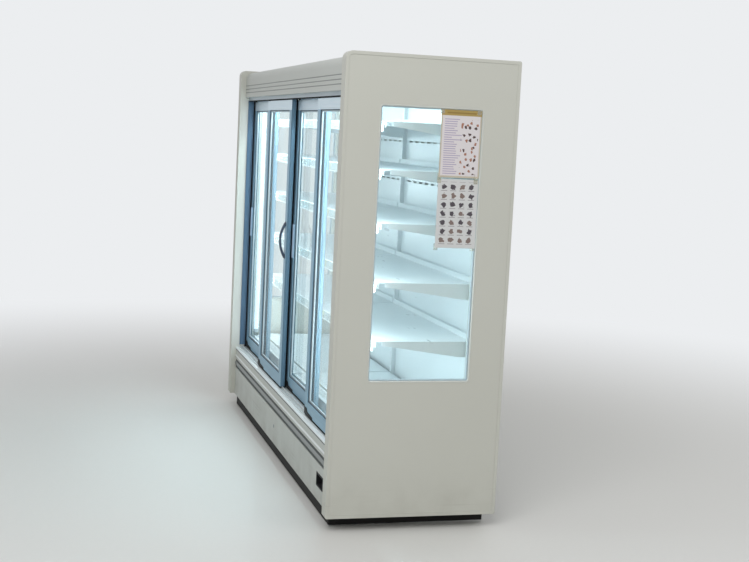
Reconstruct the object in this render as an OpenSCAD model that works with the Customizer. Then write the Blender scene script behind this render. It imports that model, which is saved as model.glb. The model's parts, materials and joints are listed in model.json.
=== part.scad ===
// Refrigerated display cabinet for a small grocery, with four sliding glass doors.
// X runs along the front, Y from the front to the back, Z up. The origin is the
// middle of the footprint on the floor. All sizes are in millimetres.

/* [Cabinet] */
// Length between the two end panels
body_len = 2500; // [2400:10:2600]
// Depth over the end panels
depth = 755; // [740:5:800]
// Height of the end panels over the floor
height = 2000; // [1980:5:2040]
// Thickness of an end panel
end_t = 65; // [50:5:80]
// Height of the end panels' and the kick panel's lower edge over the floor
foot_gap = 60; // [50:5:70]
// Distance from the end panels' front edge back to the front sheets
setback = 30; // [28:1:34]
// Radius of the end panels' upper front corner
corner_r = 30; // [24:1:50]

/* [End windows] */
// Margin between the window and the panel's front and back edge
window_margin = 152; // [140:2:180]
// Height of the window's lower edge
window_low = 640; // [600:10:760]
// Height of the window's upper edge
window_high = 1795; // [1740:5:1800]

/* [Front] */
// Height of the kick panel's upper edge
kick_top = 222; // [216:1:226]
// Height of the bumper rail
bumper_h = 52; // [48:1:56]
// Height of the sill's upper face, on which the lower track lies
sill_z = 345; // [343:1:347]
// Height of the canopy's lower lip
canopy_z = 1845; // [1840:1:1850]
// Radius of the canopy's upper front edge
canopy_r = 42; // [30:1:50]

/* [Sliding doors] */
// Thickness of a door
door_t = 24; // [22:1:24]
// Width of a door's stiles
stile_w = 55; // [50:1:60]
// Height of a door's lower rail
low_rail_h = 60; // [56:1:70]
// Height of a door's upper rail
top_rail_h = 50; // [44:1:60]
// How much neighbouring doors overlap when closed
overlap = 26; // [20:1:30]
// Free space between the front doors and the back doors
door_gap = 12; // [12:1:13]
// Height of the middle of the pulls
pull_z = 1110; // [1000:10:1200]

/* [Shelves] */
// Heights of the shelves' upper faces
shelf_z = [800, 1050, 1300, 1525, 1725]; // [700:25:1750]
// Depth of a shelf without its ticket rail
shelf_depth = 435; // [400:5:440]
// Height of the base deck's upper face
deck_z = 432; // [426:1:440]

/* [Hidden] */
$fn = 48;
front = -depth / 2;
back = depth / 2;
half = body_len / 2;
sheet = 3;
// Insulated walls
wall_t = 50;
tub_low = 200;
tub_floor = tub_low + wall_t;
tub_front = front + setback + 14;
tub_inner = front + 125;
sill_t = 12;
roof_top = height - 14;
roof_t = 56;
header_low = canopy_z + 21;
header_back = front + 130;
back_inner = back - wall_t;
// Doors
closing_gap = 5;
door_w = (body_len - 2 * closing_gap + 3 * overlap) / 4;
door_low = sill_z + 13;
door_high = canopy_z - 27;
door_h = door_high - door_low;
front_door_y = front + setback + 22;
back_door_y = front_door_y + door_t + door_gap;
track_pitch = door_t + door_gap;
glass_t = 16;
glass_grip = 8;
tongue_t = 8;
tongue_h = 28;
rib_t = 4;
rib_top = sill_z + 15;
roller_r = 14;
roller_w = 10;
roller_groove = 2.6;
roller_gap = 0.5;
roller_in = 90;
pocket_w = 14;
pocket_h = 12;
bead_w = 6;
bead_step = 2;
rail_inset = 0.5;
// Shelves
duct_face = front + 660;
upright_y = duct_face - 20;
bay_gap = 16;
bay_end_gap = 25;
shelf_front = upright_y - shelf_depth;
bay_len = half - bay_gap / 2 - bay_end_gap;
bay_starts = [-half + bay_end_gap, bay_gap / 2];
bracket_t = 3;
slot_off = (bay_gap + bracket_t) / 2;
slot_pitch = 25;
slot_first = tub_floor + 30;
slot_h = 14;
slot_depth = 12;
rail_h = 42;
rail_d = 14;

function door_x(i) = -half + closing_gap + i * (door_w - overlap);
function door_y(i) = i % 2 == 0 ? back_door_y : front_door_y;

// Runs a profile drawn in the Y and Z axes along the length, from x0 to x1
module along_x(x0, x1) {
    translate([x0, 0, 0]) rotate([90, 0, 90]) linear_extrude(x1 - x0) children();
}

// Block from one corner to the opposite one
module block(low, high) {
    translate(low) cube(high - low);
}

// A piece of the right end, and the same one mirrored at the left end
module both_ends() {
    children();
    mirror([1, 0, 0]) children();
}

// Rectangle with round corners, from its lower left corner
module round_rect(w, h, r) {
    translate([r, 0]) square([w - 2 * r, h]);
    translate([0, r]) square([w, h - 2 * r]);
    for (x = [r, w - r], y = [r, h - r]) translate([x, y]) circle(r);
}

// Upright outline with half-round ends, centred
module oblong(w, h) {
    square([w, h - w], center = true);
    for (s = [-1, 1]) translate([0, s * (h - w) / 2]) circle(w / 2);
}

// Base

foot_xs = [-half + 110, 0, half - 110];
foot_ys = [front + 120, back - 90];
frame_low = tub_low - 55;

module feet() {
    color([0.10, 0.10, 0.11])
    for (x = foot_xs, y = foot_ys) translate([x, y, 0]) {
        cylinder(h = 8, r = 26);
        translate([0, 0, 8]) cylinder(h = 10, r1 = 26, r2 = 12);
        cylinder(h = frame_low, r = 8);
        translate([0, 0, 60]) cylinder(h = 12, r = 15, $fn = 6);
    }
}

module channel_profile(w, h, t) {
    difference() {
        square([w, h]);
        translate([t, t]) square([w, h - 2 * t]);
    }
}

module base_frame() {
    color([0.55, 0.57, 0.58]) {
        translate([0, foot_ys[0] - 25, frame_low])
            along_x(-half + 60, half - 60) channel_profile(50, 55, 4);
        translate([0, foot_ys[1] + 25, frame_low]) mirror([0, 1, 0])
            along_x(-half + 60, half - 60) channel_profile(50, 55, 4);
        for (x = [-half + 330, -half / 3, half / 3, half - 330])
            block([x - 20, foot_ys[0] - 21, frame_low + 4],
                  [x + 20, foot_ys[1] + 21, tub_low - 4]);
    }
}

plinth_y = front + setback + 10;
plinth_low = 4;
plinth_back = back - 20;
plinth_flange = 18;
side_plinth_x = half - 35;

module plinth() {
    color([0.05, 0.05, 0.06]) {
        block([-side_plinth_x, plinth_y, plinth_low], [side_plinth_x, plinth_y + sheet, foot_gap]);
        block([-side_plinth_x, plinth_y, foot_gap - sheet],
              [side_plinth_x, plinth_y + plinth_flange, foot_gap]);
        both_ends() {
            block([side_plinth_x - sheet, plinth_y, plinth_low],
                  [side_plinth_x, plinth_back, foot_gap]);
            block([side_plinth_x - sheet, plinth_y, foot_gap - sheet],
                  [half + 10, plinth_back, foot_gap]);
        }
    }
}

// Lower front

switch_x = half - 185;
switch_z = foot_gap + 92;
switch_w = 114;
switch_h = 52;
switch_depth = 38;
kick_return = 32;

module kick_panel() {
    y = front + setback;
    color([0.77, 0.76, 0.72])
    difference() {
        along_x(-half, half) {
            translate([y, foot_gap]) square([sheet, kick_top - foot_gap]);
            translate([y, foot_gap]) square([kick_return, sheet]);
            translate([y, kick_top - sheet]) square([tub_front - y, sheet]);
        }
        block([switch_x - switch_w / 2, y - 1, switch_z - switch_h / 2],
              [switch_x + switch_w / 2, y + sheet + 1, switch_z + switch_h / 2]);
    }
}

module switch_box() {
    y = front + setback;
    rim = 4;
    color([0.04, 0.04, 0.05]) translate([switch_x, y, switch_z]) {
        difference() {
            union() {
                block([-switch_w / 2 - rim, -2, -switch_h / 2 - rim],
                      [switch_w / 2 + rim, 0, switch_h / 2 + rim]);
                block([-switch_w / 2, -1, -switch_h / 2],
                      [switch_w / 2, switch_depth, switch_h / 2]);
            }
            block([-switch_w / 2 + 3, -3, -switch_h / 2 + 3],
                  [switch_w / 2 - 3, switch_depth - 3, switch_h / 2 - 3]);
        }
        block([22, 20, -16], [44, switch_depth - 2, 10]);
    }
}

groove_h = 12;

module bumper_rail() {
    y = front + setback;
    nose_h = bumper_h - 2 * groove_h;
    nose_r = nose_h / 2;
    color([0.62, 0.63, 0.63])
    translate([0, 0, kick_top]) along_x(-half, half) {
        translate([y + 8, 0]) square([tub_front - y - 8, bumper_h]);
        translate([y + 6, groove_h]) square([6, nose_h]);
        intersection() {
            translate([y + nose_r - 4, bumper_h / 2]) circle(nose_r);
            translate([y - 4, groove_h]) square([11, nose_h]);
        }
    }
}

fascia_low = kick_top + bumper_h;
fascia_high = sill_z - sill_t;

module front_fascia() {
    y = front + setback;
    bead_z = (fascia_low + fascia_high) / 2;
    color([0.77, 0.76, 0.72])
    along_x(-half, half) difference() {
        union() {
            translate([y, fascia_low]) square([sheet, fascia_high - fascia_low]);
            translate([y, fascia_low]) square([tub_front - y, sheet]);
            translate([y, fascia_high - sheet]) square([tub_front - y, sheet]);
        }
        polygon([[y - 1, bead_z - 3], [y + 1.5, bead_z], [y - 1, bead_z + 3]]);
    }
}

module sill() {
    nose = sill_t / 2;
    y = front + setback - 2;
    color([0.86, 0.88, 0.88])
    along_x(-half, half) {
        translate([y + nose, fascia_high]) square([tub_inner - y - nose, sill_t]);
        translate([y + nose, fascia_high + nose]) circle(nose);
    }
}

track_low = canopy_z - 19;
jamb_w = 30;
jamb_depth = 16;
jamb_wall = 3;

// Upright channel on the right end panel, whose front side is at y
module jamb(y) {
    low = rib_top + 1;
    high = track_low - 1;
    difference() {
        block([half - jamb_depth, y, low], [half, y + jamb_w, high]);
        block([half - jamb_depth - 1, y + jamb_wall, low - 1],
              [half - jamb_wall, y + jamb_w - jamb_wall, high + 1]);
    }
}

// Lower track, and a jamb at each end in the plane that has no door there
module lower_track() {
    base_t = 3;
    y0 = front_door_y - 6;
    y1 = back_door_y + door_t + 8;
    color([0.52, 0.57, 0.62]) {
        translate([0, 0, sill_z]) along_x(-half, half) {
            translate([y0, 0]) square([y1 - y0, base_t]);
            for (p = [0, 1]) translate([front_door_y + door_t / 2 + p * track_pitch, 0]) {
                translate([-rib_t / 2, 0]) square([rib_t, rib_top - sill_z - rib_t / 2]);
                translate([0, rib_top - sill_z - rib_t / 2]) circle(rib_t / 2);
            }
            translate([y0, 0]) square([2, 7]);
            translate([y1 - 2, 0]) square([2, 7]);
        }
        jamb(back_door_y - 2);
        mirror([1, 0, 0]) jamb(front_door_y - 4);
    }
}

// Insulated body

module tub() {
    cove = 24;
    color([0.90, 0.91, 0.90])
    along_x(-half, half) {
        translate([tub_front, tub_low]) square([back_inner - tub_front, wall_t]);
        translate([tub_front, tub_low]) square([tub_inner - tub_front, fascia_high - tub_low]);
        difference() {
            translate([tub_inner, tub_floor]) square(cove);
            translate([tub_inner + cove, tub_floor + cove]) circle(cove);
        }
    }
}

// Back wall: three pressed fields, and a recess with the gland for the mains lead
module back_wall() {
    panels = 3;
    pitch = body_len / panels;
    edge = 60;
    gland_x = half - 140;
    gland_z = tub_low + 46;
    recess = 60;
    color([0.75, 0.76, 0.75]) {
        difference() {
            block([-half, back_inner, tub_low], [half, back, roof_top]);
            for (i = [0:panels - 1])
                block([-half + i * pitch + edge, back - sheet, tub_low + 90],
                      [-half + (i + 1) * pitch - edge, back + 1, roof_top - 90]);
            block([gland_x - recess / 2, back - 20, gland_z - recess / 2],
                  [gland_x + recess / 2, back + 1, gland_z + recess / 2]);
        }
        translate([gland_x, back - 20, gland_z]) rotate([-90, 0, 0]) difference() {
            union() {
                cylinder(h = 6, r = 14, $fn = 6);
                cylinder(h = 15, r = 10);
            }
            translate([0, 0, 2]) cylinder(h = 14, r = 5);
        }
    }
}

duct_low = tub_floor;
duct_high = roof_top - roof_t;
slot_rows = [for (z = shelf_z) z - 90];
slots_per_row = 12;

module rear_duct() {
    slot_w = 60;
    slot_h = 8;
    margin = 60;
    color([0.92, 0.93, 0.92])
    both_ends() difference() {
        block([bay_gap / 2, duct_face, duct_low], [half - 8, back_inner, duct_high]);
        block([bay_gap / 2 + sheet, duct_face + sheet, duct_low - 1],
              [half - 8 - sheet, back_inner + 1, duct_high + 1]);
        for (z = slot_rows, i = [0:slots_per_row - 1]) {
            x = bay_gap / 2 + margin + i * (half - 2 * margin - slot_w) / (slots_per_row - 1);
            block([x, duct_face - 1, z], [x + slot_w, duct_face + sheet + 1, z + slot_h]);
        }
    }
}

module roof() {
    color([0.88, 0.89, 0.87])
    block([-half, header_back, roof_top - roof_t], [half, back_inner, roof_top]);
}

canopy_lip = 20;

// Header: its upper front edge is cut off to clear the canopy's round edge
module header() {
    y = front + setback;
    color([0.80, 0.81, 0.80])
    along_x(-half, half)
        polygon([[y + canopy_lip, header_low], [header_back, header_low], [header_back, roof_top],
                 [y + canopy_r, roof_top], [y + canopy_lip, roof_top - canopy_r + canopy_lip]]);
}

// Canopy: one bent sheet with three grooves pressed into its face and a round upper edge
module canopy() {
    skin = 4;
    top = roof_top + skin;
    y = front + setback;
    rib_z = [canopy_z + 26, canopy_z + 46, canopy_z + 66];
    color([0.80, 0.79, 0.76])
    along_x(-half, half) {
        difference() {
            union() {
                translate([y, canopy_z]) square([skin, top - canopy_r - canopy_z]);
                translate([y + canopy_r, roof_top]) square([150, skin]);
                translate([y, canopy_z]) square([canopy_lip, skin]);
                intersection() {
                    translate([y + canopy_r, top - canopy_r]) difference() {
                        circle(canopy_r, $fn = 96);
                        circle(canopy_r - skin, $fn = 96);
                    }
                    translate([y - 1, top - canopy_r]) square([canopy_r + 1, canopy_r + 1]);
                }
            }
            for (z = rib_z) translate([y - 1.6, z]) circle(3.2);
        }
    }
}

module upper_track() {
    slot_w = tongue_t + 3;
    y0 = front + setback + canopy_lip;
    y1 = tub_inner;
    color([0.32, 0.37, 0.42])
    along_x(-half, half) difference() {
        translate([y0, track_low]) square([y1 - y0, header_low - track_low]);
        for (p = [0, 1])
            translate([front_door_y + door_t / 2 + p * track_pitch - slot_w / 2, track_low - 1])
                square([slot_w, 27]);
        translate([y0 + 5, track_low + 31]) square([y1 - y0 - 10, 5]);
    }
}

discharge_y = header_back + 42;
discharge_w = 70;

module air_discharge() {
    deep = 26;
    z = roof_top - roof_t - deep;
    cells = 60;
    fins = 4;
    x0 = -half + 12;
    span = body_len - 24;
    color([0.82, 0.84, 0.85])
    difference() {
        block([x0, discharge_y, z], [x0 + span, discharge_y + discharge_w, z + deep]);
        for (i = [0:cells - 1], j = [0:fins - 1]) {
            cell_l = (span - 2) / cells;
            cell_w = (discharge_w - 2) / fins;
            translate([x0 + 2 + i * cell_l, discharge_y + 2 + j * cell_w, z - 1])
                cube([cell_l - 2, cell_w - 2, deep + 2]);
        }
    }
}

module lamp() {
    lamp_h = 30;
    color([1, 1, 1])
    translate([0, header_back, header_low]) along_x(-half + 20, half - 20) {
        square([10, lamp_h]);
        intersection() {
            translate([10, lamp_h / 2]) circle(lamp_h / 2);
            translate([9, 0]) square([lamp_h, lamp_h]);
        }
    }
}

strip_y = tub_inner + 9;

// Upright light strips: a flat base against the end panel and a bulged cover
module light_strips() {
    strip_w = 26;
    base = 10;
    rise = 8;
    r = (strip_w * strip_w / 4 + rise * rise) / (2 * rise);
    color([1, 1, 1])
    both_ends() translate([half, strip_y, deck_z + 10])
        linear_extrude(header_low - deck_z - 60) {
            translate([-base, 0]) square([base, strip_w]);
            intersection() {
                translate([r - base - rise, strip_w / 2]) circle(r);
                translate([-base - rise - 1, 0]) square([rise + 2, strip_w]);
            }
        }
}

// End panels

module window_outline(inset) {
    translate([front + window_margin + inset, window_low + inset])
        round_rect(depth - 2 * window_margin - 2 * inset, window_high - window_low - 2 * inset,
                   16 - inset / 2);
}

panel_rim_w = 14;
panel_rim_h = 1.5;

// Side outline with a rounder upper front corner, like the canopy beside it
module panel_outline(inset) {
    r = corner_r - inset;
    difference() {
        translate([front + inset, foot_gap + inset])
            round_rect(depth - 2 * inset, height - foot_gap - 2 * inset, 8 - inset / 2);
        translate([front + inset, height - inset - r]) difference() {
            translate([-1, 0]) square(r + 1);
            translate([r, 0]) circle(r);
        }
    }
}

// End panel: its edge profile stands proud of the flat field
module end_panel() {
    color([0.76, 0.75, 0.71])
    difference() {
        along_x(half, half + end_t) difference() {
            panel_outline(0);
            window_outline(0);
        }
        along_x(half + end_t - panel_rim_h, half + end_t + 1) panel_outline(panel_rim_w);
    }
}

glass_in = 6;
unit_t = 24;
gasket_w = 7;

module window_unit() {
    color([0.80, 0.88, 0.90, 0.35])
    along_x(half + end_t - glass_in - unit_t, half + end_t - glass_in) window_outline(3);
}

module window_trim() {
    color([0.10, 0.11, 0.12])
    difference() {
        along_x(half + end_t - 34, half + end_t - 0.5) difference() {
            window_outline(0);
            window_outline(gasket_w);
        }
        window_unit();
    }
}

module end_panel_right() { end_panel(); }
module end_panel_left() { mirror([1, 0, 0]) end_panel(); }
module end_window_glass() { both_ends() window_unit(); }
module end_window_trims() { both_ends() window_trim(); }

// Display deck, grille and shelving

module deck_pans() {
    color([0.93, 0.94, 0.93])
    for (x = bay_starts) {
        x1 = x + bay_len;
        block([x, shelf_front, deck_z - sheet], [x1, upright_y - 2, deck_z]);
        block([x, shelf_front, deck_z - 34], [x1, shelf_front + sheet, deck_z]);
        for (e = [x, x1 - sheet])
            block([e, shelf_front, tub_floor], [e + sheet, upright_y - 2, deck_z]);
    }
}

grille_z = deck_z - 9;

// Air return grille: hangs on the tub's front wall and ends before the deck's ticket rail
module air_return_grille() {
    slots = 34;
    slot_w = 12;
    margin = 20;
    y1 = shelf_front - rail_d - 1;
    color([0.85, 0.86, 0.86])
    for (x = bay_starts) difference() {
        union() {
            block([x, tub_inner, tub_floor + 30], [x + bay_len, tub_inner + sheet, grille_z]);
            block([x, tub_inner, grille_z - sheet], [x + bay_len, y1, grille_z]);
            block([x, y1 - sheet, grille_z - 14], [x + bay_len, y1, grille_z]);
        }
        for (i = [0:slots - 1]) {
            sx = x + margin + i * (bay_len - 2 * margin - slot_w) / (slots - 1);
            block([sx, tub_inner + 16, grille_z - sheet - 1], [sx + slot_w, y1 - 8, grille_z + 1]);
        }
    }
}

post_end = half - bay_end_gap - bracket_t / 2 + slot_off;
post_xs = [-post_end, 0, post_end];
post_w = 30;

// Slotted post: two columns of slots, one for the brackets of each side
module shelf_uprights() {
    slot_w = bracket_t + 1;
    count = floor((duct_high - slot_first - 30) / slot_pitch);
    color([0.82, 0.84, 0.85])
    for (x = post_xs) difference() {
        block([x - post_w / 2, upright_y, tub_floor], [x + post_w / 2, duct_face, duct_high]);
        for (i = [0:count], s = [-1, 1])
            translate([x + s * slot_off - slot_w / 2, upright_y - 1, slot_first + i * slot_pitch])
                cube([slot_w, slot_depth + 1, slot_h]);
    }
}

// Cantilever bracket: two hooks on its heel rest in two slots of the post
module shelf_brackets() {
    nose = [shelf_front + 30, -16];
    heel = [upright_y - 60, -64];
    hook_h = slot_h - 3;
    hook_l = slot_depth - 2;
    color([0.88, 0.89, 0.89])
    for (z = shelf_z, x = bay_starts, e = [0, bay_len - bracket_t])
        along_x(x + e, x + e + bracket_t) translate([0, z - sheet]) {
            polygon([[upright_y, 0], [nose.x, 0], nose, heel, [upright_y, heel.y]]);
            for (drop = [20, 20 + slot_pitch])
                translate([upright_y - 1, sheet - drop]) square([hook_l + 1, hook_h]);
        }
}

module ticket_rails() {
    color([0.94, 0.95, 0.95])
    for (z = concat([deck_z], shelf_z), x = bay_starts)
        along_x(x, x + bay_len) translate([shelf_front, z]) {
            polygon([[0, 0], [-8, -1], [-rail_d, -rail_h + 4], [-rail_d, -rail_h],
                     [3 - rail_d, -rail_h], [-5, -4], [0, -4]]);
            translate([-3, -22]) square([3, 20]);
        }
}

module shelf(z) {
    lip = 24;
    rib_depth = 14;
    color([0.93, 0.94, 0.94])
    for (x = bay_starts) {
        block([x, shelf_front, z - sheet], [x + bay_len, upright_y - 2, z]);
        block([x, shelf_front, z - 26], [x + bay_len, shelf_front + sheet, z]);
        block([x, upright_y - 2 - sheet, z - sheet], [x + bay_len, upright_y - 2, z + lip]);
        for (f = [0.33, 0.67])
            block([x + bay_len * f - 20, shelf_front + 2, z - sheet - rib_depth],
                  [x + bay_len * f + 20, upright_y - 12, z - sheet + 1]);
    }
}

module shelf_1() { shelf(shelf_z[0]); }
module shelf_2() { shelf(shelf_z[1]); }
module shelf_3() { shelf(shelf_z[2]); }
module shelf_4() { shelf(shelf_z[3]); }
module shelf_5() { shelf(shelf_z[4]); }

// Sliding doors, numbered from the left: 1 and 3 run on the back track, 2 and 4 on the front one

// Drawn bar: a flat with round edges, and a lower glazing bead on the glass side
module bar_profile(w) {
    edge = 1;
    round_rect(w - bead_w, door_t, 3);
    translate([w / 2, 0]) round_rect(w / 2 - bead_w, door_t, edge);
    translate([w / 2, bead_step]) round_rect(w / 2, door_t - 2 * bead_step, edge);
}

// Grooved roller on its axle, along Y, with the middle of its groove at y = 0
module roller() {
    rotate([-90, 0, 0]) {
        translate([0, 0, 3 - door_t / 2]) cylinder(h = door_t - 6, r = 4);
        rotate_extrude() difference() {
            translate([0, -roller_w / 2]) square([roller_r, roller_w]);
            translate([roller_r, 0]) circle(roller_groove);
        }
    }
}

module door_pane() {
    block([stile_w - glass_grip, (door_t - glass_t) / 2, low_rail_h - glass_grip],
          [door_w - stile_w + glass_grip, (door_t + glass_t) / 2,
           door_h - top_rail_h + glass_grip]);
}

// Rail between the stiles, drawn in the Y and Z axes with its glazing bead on top
module rail_profile(h) {
    translate([rail_inset, 0]) square([door_t - 2 * rail_inset, h - bead_w]);
    translate([bead_step, 0]) square([door_t - 2 * bead_step, h]);
}

module door_frame(i) {
    roller_z = rib_top - door_low + roller_r - roller_groove + roller_gap;
    middle = door_t / 2;
    rail_from = stile_w - bead_w - 2;
    color([0.50, 0.56, 0.62])
    translate([door_x(i), door_y(i), door_low]) {
        difference() {
            union() {
                linear_extrude(door_h) {
                    bar_profile(stile_w);
                    translate([door_w, 0]) mirror([1, 0]) bar_profile(stile_w);
                }
                along_x(rail_from, door_w - rail_from) {
                    rail_profile(low_rail_h);
                    translate([0, door_h]) mirror([0, 1]) rail_profile(top_rail_h);
                }
                along_x(3, door_w - 3)
                    translate([middle - tongue_t / 2, door_h - 1]) square([tongue_t, tongue_h + 1]);
            }
            door_pane();
            block([-1, middle - pocket_w / 2, -1], [door_w + 1, middle + pocket_w / 2, pocket_h]);
            for (x = [roller_in, door_w - roller_in])
                block([x - roller_r - 10, middle - pocket_w / 2, -1],
                      [x + roller_r + 10, middle + pocket_w / 2, roller_z + roller_r + 5]);
        }
        for (x = [roller_in, door_w - roller_in]) translate([x, middle, roller_z]) roller();
    }
}

module door_glass(i) {
    color([0.75, 0.85, 0.90, 0.3])
    translate([door_x(i), door_y(i), door_low]) door_pane();
}

bow_len = 176;
bow_rise = 32;
bow_r = 6.5;

// Bow handle on a front door's right stile
module bow_pull(i) {
    big_r = (bow_len * bow_len / 4 + bow_rise * bow_rise) / (2 * bow_rise);
    x = door_x(i) + door_w - stile_w / 2;
    color([0.25, 0.29, 0.33])
    translate([x, door_y(i), pull_z]) {
        intersection() {
            translate([0, big_r - bow_rise, 0]) rotate([0, 90, 0]) rotate_extrude($fn = 96)
                translate([big_r - bow_r, 0]) circle(bow_r, $fn = 24);
            block([-20, -60, -bow_len], [20, 0, bow_len]);
        }
        for (s = [-1, 1]) translate([0, 0, s * (bow_len / 2 - 8)]) rotate([90, 0, 0])
            cylinder(h = 4, r = 12);
    }
}

rim_proud = 6.5;
rim_w = 20;
rim_wall = 4;

// Low rim pull on a back door's left stile, low enough to pass behind the front doors
module rim_pull(i) {
    x = door_x(i) + stile_w - bead_w - 1.5 - rim_w / 2;
    color([0.80, 0.82, 0.84])
    translate([x, door_y(i), pull_z]) rotate([90, 0, 0]) difference() {
        linear_extrude(rim_proud) oblong(rim_w, bow_len);
        translate([0, 0, -1]) linear_extrude(rim_proud + 2)
            oblong(rim_w - 2 * rim_wall, bow_len - 2 * rim_wall);
    }
}

module door_1_frame() { door_frame(0); }
module door_1_glass() { door_glass(0); }
module door_1_pull() { rim_pull(0); }
module door_2_frame() { door_frame(1); }
module door_2_glass() { door_glass(1); }
module door_2_pull() { bow_pull(1); }
module door_3_frame() { door_frame(2); }
module door_3_glass() { door_glass(2); }
module door_3_pull() { rim_pull(2); }
module door_4_frame() { door_frame(3); }
module door_4_glass() { door_glass(3); }
module door_4_pull() { bow_pull(3); }

feet();
base_frame();
plinth();
kick_panel();
switch_box();
bumper_rail();
front_fascia();
sill();
lower_track();
tub();
deck_pans();
air_return_grille();
back_wall();
rear_duct();
roof();
header();
canopy();
upper_track();
air_discharge();
lamp();
light_strips();
end_panel_left();
end_panel_right();
end_window_glass();
end_window_trims();
shelf_uprights();
shelf_brackets();
ticket_rails();
shelf_1();
shelf_2();
shelf_3();
shelf_4();
shelf_5();
door_1_frame();
door_1_glass();
door_1_pull();
door_2_frame();
door_2_glass();
door_2_pull();
door_3_frame();
door_3_glass();
door_3_pull();
door_4_frame();
door_4_glass();
door_4_pull();
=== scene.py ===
# %% [markdown]
# A refrigerated display cabinet with sliding glass doors.
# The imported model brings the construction: panels, tracks, doors, shelves and lamps,
# in metres, with X along the front, Y towards the back and Z up. This lesson adds what
# an eye looks for next: finishes, rubber beads, brushes, screws, pulls and notices.

# %% Load the cabinet
import json
import math

import bmesh
import bpy
from mathutils import Matrix, Vector


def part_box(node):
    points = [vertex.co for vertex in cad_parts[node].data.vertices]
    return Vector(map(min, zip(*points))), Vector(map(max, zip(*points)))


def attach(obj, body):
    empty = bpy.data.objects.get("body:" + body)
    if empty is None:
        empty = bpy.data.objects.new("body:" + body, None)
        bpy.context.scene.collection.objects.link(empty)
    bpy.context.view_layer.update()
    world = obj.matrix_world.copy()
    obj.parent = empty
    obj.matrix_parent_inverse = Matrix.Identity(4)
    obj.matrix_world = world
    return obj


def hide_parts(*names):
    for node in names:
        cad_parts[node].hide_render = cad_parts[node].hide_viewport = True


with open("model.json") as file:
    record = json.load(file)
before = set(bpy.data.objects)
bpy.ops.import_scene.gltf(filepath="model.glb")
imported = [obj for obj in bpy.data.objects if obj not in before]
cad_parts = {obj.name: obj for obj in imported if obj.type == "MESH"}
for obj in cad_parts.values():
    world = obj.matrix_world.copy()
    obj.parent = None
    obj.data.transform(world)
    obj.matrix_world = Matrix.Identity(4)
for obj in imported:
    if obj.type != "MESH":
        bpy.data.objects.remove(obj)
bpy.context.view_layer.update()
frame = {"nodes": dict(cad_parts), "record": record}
scene = bpy.context.scene

# %% [markdown]
# The camera stands in the aisle beside the near end, at eye height, and looks along the
# front. A matrix built from three axes keeps the slight lean of the hand that held it.
# The lens is longer than the one that took the picture, which fills the frame with the
# cabinet and leaves its perspective alone, because perspective depends on place only.

# %% Camera
EYE = Vector((6.410, -1.6355, 1.677))
AIM = Vector((0.62, -0.02, 0.985))
LEAN = math.radians(2.85)
LENS = 62.0
SIGHT = 200


def camera_axes(eye, aim, lean):
    """Right, up and backward axes of a camera that looks from eye to aim and leans by lean."""
    ahead = (aim - eye).normalized()
    level = ahead.cross(Vector((0, 0, 1))).normalized()
    upright = level.cross(ahead)
    right = level * math.cos(lean) + upright * math.sin(lean)
    up = upright * math.cos(lean) - level * math.sin(lean)
    return right, up, -ahead


camera_data = bpy.data.cameras.new("camera")
camera_data.lens = LENS
camera_data.clip_end = SIGHT
camera = bpy.data.objects.new("camera", camera_data)
scene.collection.objects.link(camera)
axes = camera_axes(EYE, AIM, LEAN)
camera.matrix_world = Matrix.Translation(EYE) @ Matrix(axes).transposed().to_4x4()
scene.camera = camera

# %% [markdown]
# Shader maths reads best as plain Python. A Wire wraps the output of one node and knows
# how to add, subtract, multiply and divide, so that 1 - mask becomes a Math node. Long
# lists of nodes and links would do the same, but then the idea of a mask gets lost.

# %% Sums between sockets
class Wire:
    """The output of a node, which takes part in sums as a number does."""

    def __init__(self, nodes, socket):
        self.nodes = nodes
        self.socket = socket

    def sum(self, operation, first, second):
        return self.nodes.node("ShaderNodeMath", {"operation": operation}, {0: first, 1: second})

    def __add__(self, other):
        return self.sum("ADD", self, other)

    def __radd__(self, other):
        return self.sum("ADD", other, self)

    def __sub__(self, other):
        return self.sum("SUBTRACT", self, other)

    def __rsub__(self, other):
        return self.sum("SUBTRACT", other, self)

    def __mul__(self, other):
        return self.sum("MULTIPLY", self, other)

    def __rmul__(self, other):
        return self.sum("MULTIPLY", other, self)

    def __truediv__(self, other):
        return self.sum("DIVIDE", self, other)

    def __rtruediv__(self, other):
        return self.sum("DIVIDE", other, self)

    def __gt__(self, other):
        return self.sum("GREATER_THAN", self, other)

    def __lt__(self, other):
        return self.sum("LESS_THAN", self, other)

    def alone(self, operation):
        """A Math node that takes one value, such as FRACT, FLOOR or ABSOLUTE."""
        return self.sum(operation, self, 0.0)

    def step(self, low, high):
        """0 below low, 1 above high and a smooth rise between them."""
        return self.nodes.node("ShaderNodeMapRange", {"interpolation_type": "SMOOTHSTEP"},
                               {"Value": self, "From Min": low, "From Max": high})


# %% [markdown]
# One method makes any node: first its settings, then the values or wires of its
# sockets. A material has a tree of nodes and the world has one too, so the method
# belongs to the tree and both can use it.

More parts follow.
